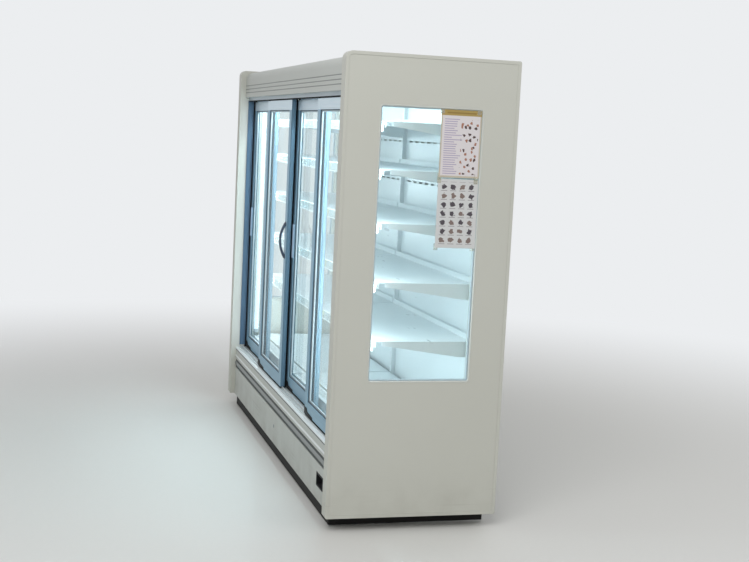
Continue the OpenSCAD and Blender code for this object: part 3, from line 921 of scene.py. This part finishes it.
def head_pads(door):
    low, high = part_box(f"{door}_frame")
    middle = (low.y + high.y) / 2
    levels = ((track_under - PAD_GAP, 0.0), (track_under - 2 * PAD_LIP, 0.0),
              (track_under - PAD_LIP, PAD_LIP))
    bm = bmesh.new()
    for x in (low.x + 0.001, high.x - 0.001 - PAD_LENGTH):
        corners = (x, middle - PAD_REACH), (x + PAD_LENGTH, middle + PAD_REACH)
        capped(bm, [[(u, v, z) for u, v in rounded_loop(*corners, PAD_CORNER, inset, 4)]
                    for z, inset in levels])
    finish_piece(f"{door}_head_pads", bm, door, "black_plastic")


for door in DOORS:
    head_pads(door)
for door, side in (("door_1", -1), ("door_2", 1), ("door_4", 1)):
    closing_seal(door, side)
print("seals end", round(track_under, 3), "m over the floor")

# %% [markdown]
# Brushes on the back doors' upright edges bridge the gap to the front doors. At both
# ends of the cabinet an upright channel stands on the panel, in the track that its door
# doesn't use, and a brush on it reaches to the door that shuts behind or before it. All
# are runs of an outline of two equal sides again, turned the way that the door lies.

# %% Upright brushes
MEETING_BRUSH = [(0.0035, 0.0), (0.0035, 0.0018), (0.0018, 0.0024), (0.0008, 0.0112)]
MEETING_INSET = 0.0045
JAMB_BRUSH = [(0.004, 0.0), (0.004, 0.0022), (0.0009, 0.0092)]
JAMB_INSET = 0.0085
JAMB_FOOT = 0.0100


def meeting_brushes(door):
    """Brushes on a back door's upright edges, which close the gap to the front doors."""
    low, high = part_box(f"{door}_frame")
    bm = bmesh.new()
    for middle in (low.x + MEETING_INSET, high.x - MEETING_INSET):
        run(bm, [(middle + x, low.y - reach) for x, reach in brush_outline(MEETING_BRUSH)],
            brush_end, track_under - 0.001, "Z")
    finish_piece(f"{door}_brushes", bm, door, "black_plastic", brush_hair)


def jamb_brushes():
    """Brushes on the two channels: each reaches to the door that shuts behind or before it."""
    low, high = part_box("lower_track")
    front_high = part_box("door_4_frame")[1]
    back_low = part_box("door_1_frame")[0]
    bm = bmesh.new()
    for middle, door_y, away in ((low.x + JAMB_INSET, back_low.y, -1),
                                 (high.x - JAMB_INSET, front_high.y, 1)):
        foot = door_y + away * JAMB_FOOT
        run(bm, [(middle + x, foot - away * reach) for x, reach in brush_outline(JAMB_BRUSH)],
            CHANNEL_LOW + 0.001, high.z - 0.001, "Z")
    finish_piece("jamb_brushes", bm, "cabinet", "black_plastic", brush_hair)


for door in ("door_1", "door_3"):
    meeting_brushes(door)
jamb_brushes()
print("brushes reach", MEETING_BRUSH[-1][1] * 1000, "mm out of the back doors")

# %% [markdown]
# The front doors have a bow handle: an arc of dark plastic with an oval section that
# flares into two feet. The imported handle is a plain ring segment, right in size and
# place, so a finer mesh stands for it. The arc comes from the node's own box: its
# height and its reach give the radius.

# %% Bow handles
BOW_THIN = 0.0062
BOW_WIDE = 0.0090
BOW_FLARE = 1.30
BOW_STEPS = 16
FOOT_PAD = [(0.0060, 0.0036), (0.0102, 0.0033), (0.0124, 0.0022), (0.0130, 0.0008), (0.0131, 0.0)]


def bow_handle(door):
    low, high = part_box(f"{door}_pull")
    face = high.y
    x = (low.x + high.x) / 2
    middle = (low.z + high.z) / 2
    half = (high.z - low.z) / 2 - 0.006
    rise = face - low.y - BOW_THIN
    radius = (half * half + rise * rise) / (2 * rise)
    reach = math.asin(half / radius)
    loops = []
    for k in range(2 * BOW_STEPS + 1):
        turn = reach * (k / BOW_STEPS - 1)
        flare = 1 + (BOW_FLARE - 1) * (abs(turn) / reach) ** 4
        centre_y = face - (radius * math.cos(turn) - (radius - rise))
        centre_z = middle + radius * math.sin(turn)
        loop = []
        for a in full_turn(16):
            out = BOW_THIN * flare * math.cos(a)
            y = min(centre_y - out * math.cos(turn), face)
            loop.append((x + BOW_WIDE * flare * math.sin(a), y, centre_z + out * math.sin(turn)))
        loops.append(loop)
    bm = bmesh.new()
    capped(bm, loops)
    for side in (-1, 1):
        turned(bm, FOOT_PAD, (x, face, middle + side * (half - 0.003)), (0, -1, 0), steps=28)
    piece = finish_piece(f"{door}_bow_handle", bm, door, "dark_pull")
    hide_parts(f"{door}_pull")
    return radius


for door in ("door_2", "door_4"):
    print("bow radius:", round(bow_handle(door), 3), "m")

# %% [markdown]
# The back doors pass close behind the front ones, so their pull is a low oval rim to
# hook a fingertip in. A ring with a rounded lip makes the rim, and shrinking loops make
# the shallow dish inside it. Its pale blue grey is a painted highlight: the plastic is
# the same as the dark bow handles', painted paler for the light of the lit glass on it.

# %% Rim pulls
RIM_LIP = [(0.0, 0.0), (0.0003, 0.0040), (0.0012, 0.0057), (0.0024, 0.0064), (0.0034, 0.0060),
           (0.0041, 0.0048), (0.0046, 0.0020), (0.0046, 0.0)]
RIM_DISH = [(0.0046, 0.0020), (0.0060, 0.0012), (0.0078, 0.0009), (0.0092, 0.0008)]


def rim_pull(door):
    low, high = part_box(f"{door}_pull")
    corner, opposite = (low.x, low.z), (high.x, high.z)
    radius = (high.x - low.x) / 2
    place = on_front(high.y)
    bm = bmesh.new()
    frame_ring(bm, corner, opposite, radius, RIM_LIP, place)
    rows = skin(bm, [[place(u, v, height) for u, v in rounded_loop(corner, opposite, radius, inset, 8)]
                     for inset, height in RIM_DISH], closed=False)
    bm.faces.new(rows[-1])
    piece = finish_piece(f"{door}_rim_pull", bm, door, "light_pull")
    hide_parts(f"{door}_pull")


for door in ("door_1", "door_3"):
    rim_pull(door)
print("rim pulls stand", RIM_LIP[3][1] * 1000, "mm proud")

# %% [markdown]
# Each end window is a thick insulating unit. A grey gasket with rolled lips holds it
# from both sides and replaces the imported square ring, and a slim spacer shows just
# inside it between the panes.

# %% End windows
UNIT_DEPTH = 0.0335
UNIT_CORNER = 0.016
GASKET_IN = 0.007
SPACER_STRIP = 0.0045
SPACER_DEPTH = 0.016
SPACER_BEHIND = 0.020
window_low, window_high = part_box("end_window_trims")
window_corners = (window_low.y, window_low.z), (window_high.y, window_high.z)
glass_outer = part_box("end_window_glass")[1].x


def window_rings(bm, profile, x):
    """The same ring in both end windows, from x towards the outside."""
    for side in (-1, 1):
        frame_ring(bm, *window_corners, UNIT_CORNER, profile, on_end(side * x, side))


def window_gaskets():
    inner = window_high.x - UNIT_DEPTH
    glass = glass_outer - inner
    profile = [(0.0, 0.001), (0.0012, 0.0), (0.0052, 0.0006), (GASKET_IN, 0.004), (0.003, 0.004),
               (0.003, glass), (GASKET_IN, glass), (GASKET_IN - 0.0006, UNIT_DEPTH - 0.0022),
               (GASKET_IN - 0.0024, UNIT_DEPTH - 0.0003), (0.0016, UNIT_DEPTH), (0.0, UNIT_DEPTH - 0.0012)]
    bm = bmesh.new()
    window_rings(bm, profile, inner)
    piece = finish_piece("end_window_gaskets", bm, "cabinet", "window_rubber")
    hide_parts("end_window_trims")


def window_spacers():
    bm = bmesh.new()
    profile = spacer_bar(GASKET_IN - 0.002, GASKET_IN + SPACER_STRIP, SPACER_DEPTH, 0.001)
    window_rings(bm, profile, glass_outer - SPACER_BEHIND)
    finish_piece("end_window_spacers", bm, "cabinet", "door_aluminium", spacer_metal)


window_gaskets()
window_spacers()
print("window:", [round(b - a, 3) for a, b in zip(*window_corners)], "m")

# %% [markdown]
# Two paper notices are taped to the near window: a list with a gold heading and small
# pictures, and under it a chart of small dark pictures. Their print here is only
# generic bars and blots. An image could carry it, but a few masks over the sheet's own
# UV coordinates do the same and stay sharp.

# %% Printed paper
def sheet_coordinates(finish):
    spot = finish.node("ShaderNodeTexCoord", out="UV")
    return finish.part(spot, "X"), finish.part(spot, "Y")


def inside(value, low, high):
    return (value > low) * (value < high)


def blots(finish, u, v, columns, rows, scatter, size):
    """Small ragged spots, one in each cell: their mask and a random number for each."""
    spot = finish.node("ShaderNodeCombineXYZ", None, {"X": u * columns + 0.5, "Y": v * rows + 0.5})
    rough = finish.node("ShaderNodeTexNoise", None, {"Vector": spot, "Scale": 3.1, "Detail": 3.0})
    near, pick = [finish.node("ShaderNodeTexVoronoi", {"voronoi_dimensions": "2D"},
                              {"Vector": spot, "Scale": 1.0, "Randomness": scatter}, out=out)
                  for out in ("Distance", "Color")]
    return (near + (rough - 0.5) * 0.65) < size, finish.part(pick, "X")


def paper_base(name):
    finish = Finish(name, roughness=0.62)
    finish.shade({"Specular IOR Level": 0.3})
    finish.relief(finish.noise(60, 3), 0.0002)
    return finish


# %% [markdown]
# The two prints differ only in their masks. Lines of text are a repeating ramp cut off
# at a ragged right margin, the small pictures are Voronoi cells with a rough edge, and
# inside() keeps each of them in its part of the sheet.

# %% The two prints
PAPER_TONE = tone(222, 217, 219)
GOLD = tone(172, 148, 88)
TAN = tone(196, 186, 168)
LILAC = tone(176, 164, 190)
TEXT_LINES = 30
CHART_ACROSS, CHART_DOWN = 4, 7


def list_print():
    finish = paper_base("notice_list_print")
    u, v = sheet_coordinates(finish)
    line = v * TEXT_LINES
    ragged = finish.node("ShaderNodeTexNoise", {"noise_dimensions": "1D"},
                         {"W": line.alone("FLOOR") * 0.37, "Scale": 2.3})
    text = (line.alone("FRACT") > 0.62) * inside(v, 0.05, 0.88) * (u > 0.09) * (u < 0.16 + ragged * 0.48)
    spots, chance = blots(finish, u, v, 8, 11, 0.85, 0.24)
    right = inside(u, 0.50, 0.93) * inside(v, 0.05, 0.86)
    ink = finish.mix(chance > 0.5, tone(84, 66, 64), tone(164, 118, 98))
    colour = finish.mix(text, PAPER_TONE, LILAC)
    colour = finish.mix(spots * right, colour, ink)
    border = 1 - inside(u, 0.035, 0.965) * (v > 0.028)
    colour = finish.mix(border, colour, TAN)
    bars = inside(v, 0.945, 0.965) * inside(u, 0.14, 0.86)
    heading = finish.mix(bars * 0.55, GOLD, tone(118, 92, 44))
    finish.shade({"Base Color": finish.mix(v > 0.915, colour, heading)})
    return finish.material


def chart_print():
    finish = paper_base("notice_chart_print")
    u, v = sheet_coordinates(finish)
    area = inside(u, 0.05, 0.95) * inside(v, 0.04, 0.96)
    across, up = (u - 0.05) / 0.9, (v - 0.05) / 0.9
    spots, chance = blots(finish, across, up, CHART_ACROSS, CHART_DOWN, 0.0, 0.27)
    row = (up * CHART_DOWN).alone("FRACT")
    column = (across * CHART_ACROSS).alone("FRACT")
    caption = inside(row, 0.04, 0.12) * inside(column, 0.16, 0.84)
    ink = finish.mix(chance > 0.55, tone(84, 78, 84), tone(132, 116, 110))
    colour = finish.mix(caption * area * 0.7, tone(212, 213, 213), tone(128, 122, 126))
    finish.shade({"Base Color": finish.mix(spots * area, colour, ink)})
    return finish.material


# %% [markdown]
# A sheet of paper held only by tape at its corners never lies quite flat: its lower
# corners lift and its middle waves a little. Each row of the sheet is a flat loop: there
# on the side of the glass, and back again on the printed side, a paper's thickness
# further out. One skin of no thickness would look the same from the front, but real
# paper has an edge, and a closed sheet is a solid.

# %% Notices on the near window
PAPER_THICK = 0.0003
PAPER_GAP = 0.0007
NOTICE_FROM = 0.0395
NOTICE_TO = 0.2165
LIST_LOW, LIST_HIGH = 1.506, 1.786
CHART_LOW, CHART_HIGH = 1.212, 1.500
PAPER_ACROSS, PAPER_DOWN = 14, 20


def paper_lift(u, v, curl):
    """How far a point of the sheet stands off the glass: the lower corners lift by curl."""
    corner = max(0.0, 1 - math.hypot(min(u, 1 - u), v * 0.7) / 0.35)
    wave = 0.0003 * math.sin(9 * v + 5 * u)
    return curl * corner ** 2 * (1.3 if u > 0.5 else 0.7) + wave


def notice(name, low, high, finish, curl):
    """A thin closed sheet, with the sheet's own coordinates as its UV map."""
    there = [(i / PAPER_ACROSS, 0.0) for i in range(PAPER_ACROSS + 1)]
    back_again = [(u, PAPER_THICK) for u, layer in reversed(there)]
    bm = bmesh.new()
    loops = []
    for v in (j / PAPER_DOWN for j in range(PAPER_DOWN + 1)):
        loops.append([(glass_outer + PAPER_GAP + paper_lift(u, v, curl) + layer,
                       NOTICE_FROM + u * (NOTICE_TO - NOTICE_FROM), low + v * (high - low))
                      for u, layer in there + back_again])
    rows = skin(bm, loops, closed=False)
    for row in (rows[0], rows[-1]):
        for k in range(PAPER_ACROSS):
            bm.faces.new((row[k], row[k + 1], row[-2 - k], row[-1 - k]))
    uv_layer = bm.loops.layers.uv.new("UVMap")
    for face in bm.faces:
        for loop in face.loops:
            spot = loop.vert.co
            loop[uv_layer].uv = ((spot.y - NOTICE_FROM) / (NOTICE_TO - NOTICE_FROM),
                                 (spot.z - low) / (high - low))
    finish_piece(name, bm, "cabinet", "white_plastic", finish)


notice("notice_list", LIST_LOW, LIST_HIGH, list_print(), 0.0018)
notice("notice_chart", CHART_LOW, CHART_HIGH, chart_print(), 0.0024)
print("notices:", round(NOTICE_TO - NOTICE_FROM, 3), "m wide")

# %% [markdown]
# Short strips of clear tape hold the sheets at their corners. Tape is mostly seen
# through, with a milky haze where tiny bubbles lie under it, so a noise mixes a little
# diffuse white into a transparent shader.

# %% Tape
TAPE_LIFT = 0.0017
TAPE_THICK = 0.0002
TAPE_HALF_WIDE, TAPE_HALF_LONG = 0.009, 0.014


def clear_tape():
    finish = Finish("clear_tape")
    clear = finish.node("ShaderNodeBsdfTransparent", None, {"Color": tone(246, 246, 240)})
    haze = finish.node("ShaderNodeBsdfDiffuse", None, {"Color": tone(226, 226, 220)})
    finish.show_mix(finish.noise(300, 3) * 0.3 + 0.08, clear, haze)
    return finish.material


def notice_tapes():
    bm = bmesh.new()
    centres = [(y, z) for low, high in ((LIST_LOW, LIST_HIGH), (CHART_LOW, CHART_HIGH))
               for y in (NOTICE_FROM + 0.004, NOTICE_TO - 0.012) for z in (low + 0.004, high - 0.004)]
    for y, z in centres:
        flat = rounded_loop((y - TAPE_HALF_WIDE, z - TAPE_HALF_LONG),
                            (y + TAPE_HALF_WIDE, z + TAPE_HALF_LONG), 0.0008, 0.0, 2)
        run(bm, flat, glass_outer + TAPE_LIFT, glass_outer + TAPE_LIFT + TAPE_THICK)
    finish_piece("notice_tapes", bm, "cabinet", "clear_glass", clear_tape())
    return len(centres)


print("tapes:", notice_tapes())

# %% [markdown]
# The shelf fronts carry ticket rails. In each lies a strip of paper behind a clear
# flap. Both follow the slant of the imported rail, which its profile gives as two points
# in Y and Z, so the strips are short runs of a thin outline along each bay.

# %% Ticket strips
RAIL_TOP_POINT = (-0.008, -0.001)
RAIL_LOW_POINT = (-0.014, -0.038)
RAIL_LIP = 0.0015
SHELF_BACK_LIP = 0.024
TICKET_GAP = 0.0002
TICKET_THICK = 0.0003
FLAP_GAP = 0.0010
FLAP_THICK = 0.0007
TICKETS_A_METRE = 12.5


def ticket_paper():
    finish = Finish("ticket_paper", roughness=0.7)
    ticket = finish.axis("X") * TICKETS_A_METRE
    cut = ticket.alone("FRACT") < 0.03
    chance = finish.node("ShaderNodeTexWhiteNoise", {"noise_dimensions": "1D"},
                         {"W": ticket.alone("FLOOR")})
    colour = finish.mix(chance > 0.7, tone(232, 233, 230), tone(236, 230, 206))
    finish.shade({"Base Color": finish.mix(cut, colour, tone(180, 184, 186))})
    return finish.material


def ticket_strips(name, slot, finish, gap, thick, short):
    """A slanted strip before each level in both bays, that much short of their ends."""
    front_y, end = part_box("shelf_1")[0].y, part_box("shelf_1")[1].x
    bm = bmesh.new()
    for z in shelf_levels:
        top = (front_y + RAIL_TOP_POINT[0] - gap, z + RAIL_TOP_POINT[1] - RAIL_LIP)
        low = (front_y + RAIL_LOW_POINT[0] - gap, z + RAIL_LOW_POINT[1] + RAIL_LIP)
        outline = [top, low, (low[0] - thick, low[1]), (top[0] - thick, top[1])]
        for x0, x1 in ((-end, -0.008), (0.008, end)):
            run(bm, outline, x0 + short, x1 - short)
    finish_piece(name, bm, "cabinet", slot, finish)


shelf_levels = [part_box("deck_pans")[1].z]
shelf_levels += [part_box(f"shelf_{i}")[1].z - SHELF_BACK_LIP for i in range(1, 6)]
clear_flap = clear_sheet(Finish("clear_flap"), tone(248, 250, 250), 0.12, 1.4, 0.35, 0.02)
ticket_strips("ticket_papers", "white_plastic", ticket_paper(), TICKET_GAP, TICKET_THICK, 0.004)
ticket_strips("ticket_flaps", "clear_glass", clear_flap, FLAP_GAP, FLAP_THICK, 0.001)
print("shelf levels:", [round(level, 3) for level in shelf_levels])

# %% [markdown]
# The lamps' tubes end in white sockets, a shade bigger than the tube. Each socket is the
# tube's own outline, grown a little and run a short way. Under the canopy a long brush
# hangs down to the front doors, which hides the gap over them.

# %% Lamp caps and canopy brush
CAP_LENGTH = 0.016
CAP_GROW = 0.0012
CAP_PAST = 0.002
COVER_FLAT = 0.011
COVER_DOME = 0.0085
COVER_HALF = 0.013
DOOR_TONGUE = 0.028
CANOPY_BRUSH_SET = 0.0022
CANOPY_BRUSH_END = 0.0016


def cap_places(low, high):
    """Where the two sockets of a tube begin and end."""
    return (low - CAP_PAST, low + CAP_LENGTH), (high - CAP_LENGTH, high + CAP_PAST)


def header_lamp_caps():
    low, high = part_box("lamp")
    half = (high.z - low.z) / 2
    radius, middle = half + CAP_GROW, (low.z + high.z) / 2
    outline = [(low.y, middle - radius)]
    outline += [(high.y - half + radius * s, middle - radius * c) for s, c in arc(12)]
    outline.append((low.y, middle + radius))
    bm = bmesh.new()
    for start, end in cap_places(low.x, high.x):
        run(bm, outline, start, end)
    finish_piece("lamp_caps", bm, "cabinet", "white_plastic")


def strip_caps():
    low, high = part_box("light_strips")
    y0, y1, middle = low.y - CAP_GROW, high.y + CAP_GROW, (low.y + high.y) / 2
    half = [(0.0, y0), (COVER_FLAT, y0)]
    half += [(COVER_FLAT + COVER_DOME * s, middle - (COVER_HALF + CAP_GROW) * c) for s, c in arc(8)]
    half += [(COVER_FLAT, y1), (0.0, y1)]
    bm = bmesh.new()
    for side in (-1, 1):
        for start, end in cap_places(low.z, high.z):
            run(bm, [(side * (high.x - inward), y) for inward, y in half], start, end, "Z")
    finish_piece("strip_caps", bm, "cabinet", "white_plastic")


def canopy_brush():
    low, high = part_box("upper_track")
    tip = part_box("door_2_frame")[1].z - DOOR_TONGUE + CANOPY_BRUSH_END
    outline = brush_outline([(0.0016, 0.0), (0.0009, low.z - tip)])
    bm = bmesh.new()
    run(bm, [(low.y + CANOPY_BRUSH_SET + y, low.z - reach) for y, reach in outline],
        low.x + 0.002, high.x - 0.002)
    finish_piece("canopy_brush", bm, "cabinet", "black_plastic", brush_hair)


header_lamp_caps()
strip_caps()
canopy_brush()
print("lamp caps are", CAP_LENGTH * 1000, "mm long")

# %% [markdown]
# The bumper's round nose stands between two deep grooves. A dark grey rubber strip is
# pressed into each and hugs the nose's shoulder, so from the front they are two dark
# lines; their dark grey is painted shadow, for the shade deep in the grooves. Above them
# a pale bead runs along the fascia, and a grey seal in the joint under the sill is
# painted shadow too, for the shade under the sill's nose. All of them are runs of one
# outline each.

# %% Bumper strips and fascia bead
GROOVE_FLOOR = 0.008
GROOVE_WALL = 0.0115
SHADOW_STRIP_HEIGHT = 0.016
SHADOW_STRIP_LIP = 0.0034
SHADOW_STRIP_SHOULDER = 0.0003
BEAD_HALF = 0.0055
BEAD_PROUD = 0.0036
BEAD_OVER_BUMPER = 0.019
NOSE_SHADOW_HEIGHT = 0.0035
SUNK = 0.0005


# painted shadow: dark strips in the bumper's grooves stand for the shade deep in them
def bumper_shadow_strips():
    low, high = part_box("bumper_rail")
    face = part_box("kick_panel")[0].y
    depth = SHADOW_STRIP_LIP - SHADOW_STRIP_SHOULDER
    bm = bmesh.new()
    for wall, up in ((low.z, 1), (high.z, -1)):
        outline = [(face + GROOVE_FLOOR, wall)]
        outline += [(face + SHADOW_STRIP_LIP - depth * (1 - c), wall + up * SHADOW_STRIP_HEIGHT * s)
                    for s, c in arc(6, math.pi / 2)]
        outline.append((face + GROOVE_FLOOR, wall + up * GROOVE_WALL))
        run(bm, outline, low.x + SUNK, high.x - SUNK)
    finish = rubber("groove_shadow_rubber", tone(76, 80, 80), tone(98, 102, 101), 0.62)
    finish_piece("bumper_shadow_strips", bm, "cabinet", "black_plastic", finish)


def fascia_bead():
    low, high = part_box("bumper_rail")
    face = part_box("kick_panel")[0].y
    middle = high.z + BEAD_OVER_BUMPER
    outline = [(face + SUNK, middle - BEAD_HALF)]
    outline += [(face - BEAD_PROUD * s, middle - BEAD_HALF * c) for s, c in arc(8)]
    outline.append((face + SUNK, middle + BEAD_HALF))
    bm = bmesh.new()
    run(bm, outline, low.x + SUNK, high.x - SUNK)
    finish_piece("fascia_bead", bm, "cabinet", "sill_white")
    return middle


# painted shadow: a grey strip under the sill's nose stands for the shadow that the nose casts
def sill_shadow_seal():
    low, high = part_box("front_fascia")
    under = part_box("sill")[0].z
    inside_y, lip_y, top = low.y + SUNK, low.y - 0.0006, under + 0.0004
    outline = [(inside_y, under - NOSE_SHADOW_HEIGHT), (lip_y, under - NOSE_SHADOW_HEIGHT),
               (low.y - 0.0011, under - NOSE_SHADOW_HEIGHT * 0.5), (lip_y, top), (inside_y, top)]
    bm = bmesh.new()
    run(bm, outline, low.x + SUNK, high.x - SUNK)
    finish = rubber("nose_shadow_grey", tone(104, 110, 111), tone(128, 133, 133))
    finish_piece("sill_shadow_seal", bm, "cabinet", "window_rubber", finish)


bumper_shadow_strips()
print("bead at", round(fascia_bead(), 3), "m")
sill_shadow_seal()

# %% [markdown]
# A round lock sits in the middle of the kick panel and a rocker in the switch box. The
# lock is turned from two profiles, a rim and a sunken core. The rocker's side view has a
# bend in the middle, because its two halves tilt.

# %% Lock and rocker
LOCK_Z = 0.149
LOCK_RIM = [(0.0062, 0.0004), (0.0066, 0.0016), (0.0086, 0.0015), (0.0096, 0.0006), (0.0098, 0.0)]
LOCK_CORE = [(0.0012, 0.0008), (0.0014, 0.0014), (0.0058, 0.0012), (0.0062, 0.0)]
ROCKER_SEAT = 0.022
ROCKER_X = (0.023, 0.043)
ROCKER_Z = (-0.015, 0.009)
ROCKER_LIFTS = (0.0015, 0.0035, 0.0050)
ROCKER_EDGE = 0.0005


def kick_panel_lock():
    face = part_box("kick_panel")[0].y
    bm = bmesh.new()
    turned(bm, LOCK_RIM, (0, face, LOCK_Z), (0, -1, 0), steps=32)
    turned(bm, LOCK_CORE, (0, face - 0.0002, LOCK_Z), (0, -1, 0), steps=24)
    finish_piece("kick_panel_lock", bm, "cabinet", "zinc_steel")


def switch_rocker():
    low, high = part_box("switch_box")
    x0, x1 = [(low.x + high.x) / 2 + x for x in ROCKER_X]
    z0, z1 = [(low.z + high.z) / 2 + z for z in ROCKER_Z]
    seat = low.y + ROCKER_SEAT
    face = [(seat - lift, z) for lift, z in zip(ROCKER_LIFTS, (z0, (z0 + z1) / 2, z1))]
    bm = bmesh.new()
    run(bm, [(seat, z0)] + face + [(seat, z1)], x0, x1)
    bmesh.ops.bevel(bm, geom=list(bm.edges), offset=ROCKER_EDGE, segments=2, affect="EDGES", profile=0.5)
    finish = moulded("rocker_gloss", SOFT_BLACK, tone(58, 59, 62), 0.18)
    finish_piece("switch_rocker", bm, "cabinet", "black_plastic", finish)


kick_panel_lock()
switch_rocker()
print("lock at", LOCK_Z, "m over the floor")

# %% [markdown]
# Folded strips cover the joints of the roof sheets, and rows of pan-head screws hold the
# sheets of the back. The screws' places are worked out from the pressed fields, so a
# wider cabinet gets more of them by itself.

# %% Roof strips and back screws
STRIP_HALF = 0.017
STRIP_LIFT = 0.0012
STRIP_EDGE = 0.0005
STRIP_PAST = 0.046
STRIP_SCREWS = 4
SCREW_SIDE = 0.011
SCREW_END = 0.03
FIELD_EDGE = 0.060
FIELD_LOW = 0.290
FIELD_TOP = 0.090
FIELD_DEPTH = 0.003
SCREW_IN = 0.012
SCREW_PITCH = 0.20


def roof_strips():
    low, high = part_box("roof")
    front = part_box("canopy")[1].y + 0.003
    top = high.z + STRIP_LIFT
    span = high.y - front - 2 * SCREW_END
    rows = [front + SCREW_END + k * span / (STRIP_SCREWS - 1) for k in range(STRIP_SCREWS)]
    strips = bmesh.new()
    heads = bmesh.new()
    for share in (-1 / 6, 1 / 6):
        x = share * (high.x - low.x)
        bar(strips, (x - STRIP_HALF, front, high.z - STRIP_EDGE),
            (x + STRIP_HALF, high.y + STRIP_PAST, top), STRIP_EDGE)
        screws(heads, [(x + side * SCREW_SIDE, y, top) for y in rows for side in (-1, 1)], (0, 0, 1))
    finish_piece("roof_strips", strips, "cabinet", "outer_paint")
    finish_piece("roof_screws", heads, "cabinet", "zinc_steel")


def back_screws():
    low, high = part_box("back_wall")
    y = high.y - FIELD_DEPTH
    width = (high.x - low.x) / 3
    z0, z1 = FIELD_LOW + SCREW_IN, high.z - FIELD_TOP - SCREW_IN
    rows = round((z1 - z0) / SCREW_PITCH)
    places = []
    for i in range(3):
        x0 = low.x + i * width + FIELD_EDGE + SCREW_IN
        x1 = low.x + (i + 1) * width - FIELD_EDGE - SCREW_IN
        places += [(x, y, z0 + k * (z1 - z0) / rows) for k in range(rows + 1) for x in (x0, x1)]
        places += [(x0 + k * (x1 - x0) / 3, y, z) for k in (1, 2) for z in (z0, z1)]
    bm = bmesh.new()
    screws(bm, places, (0, 1, 0))
    finish_piece("back_screws", bm, "cabinet", "zinc_steel")
    return len(places)


roof_strips()
print("screws in the back:", back_screws())
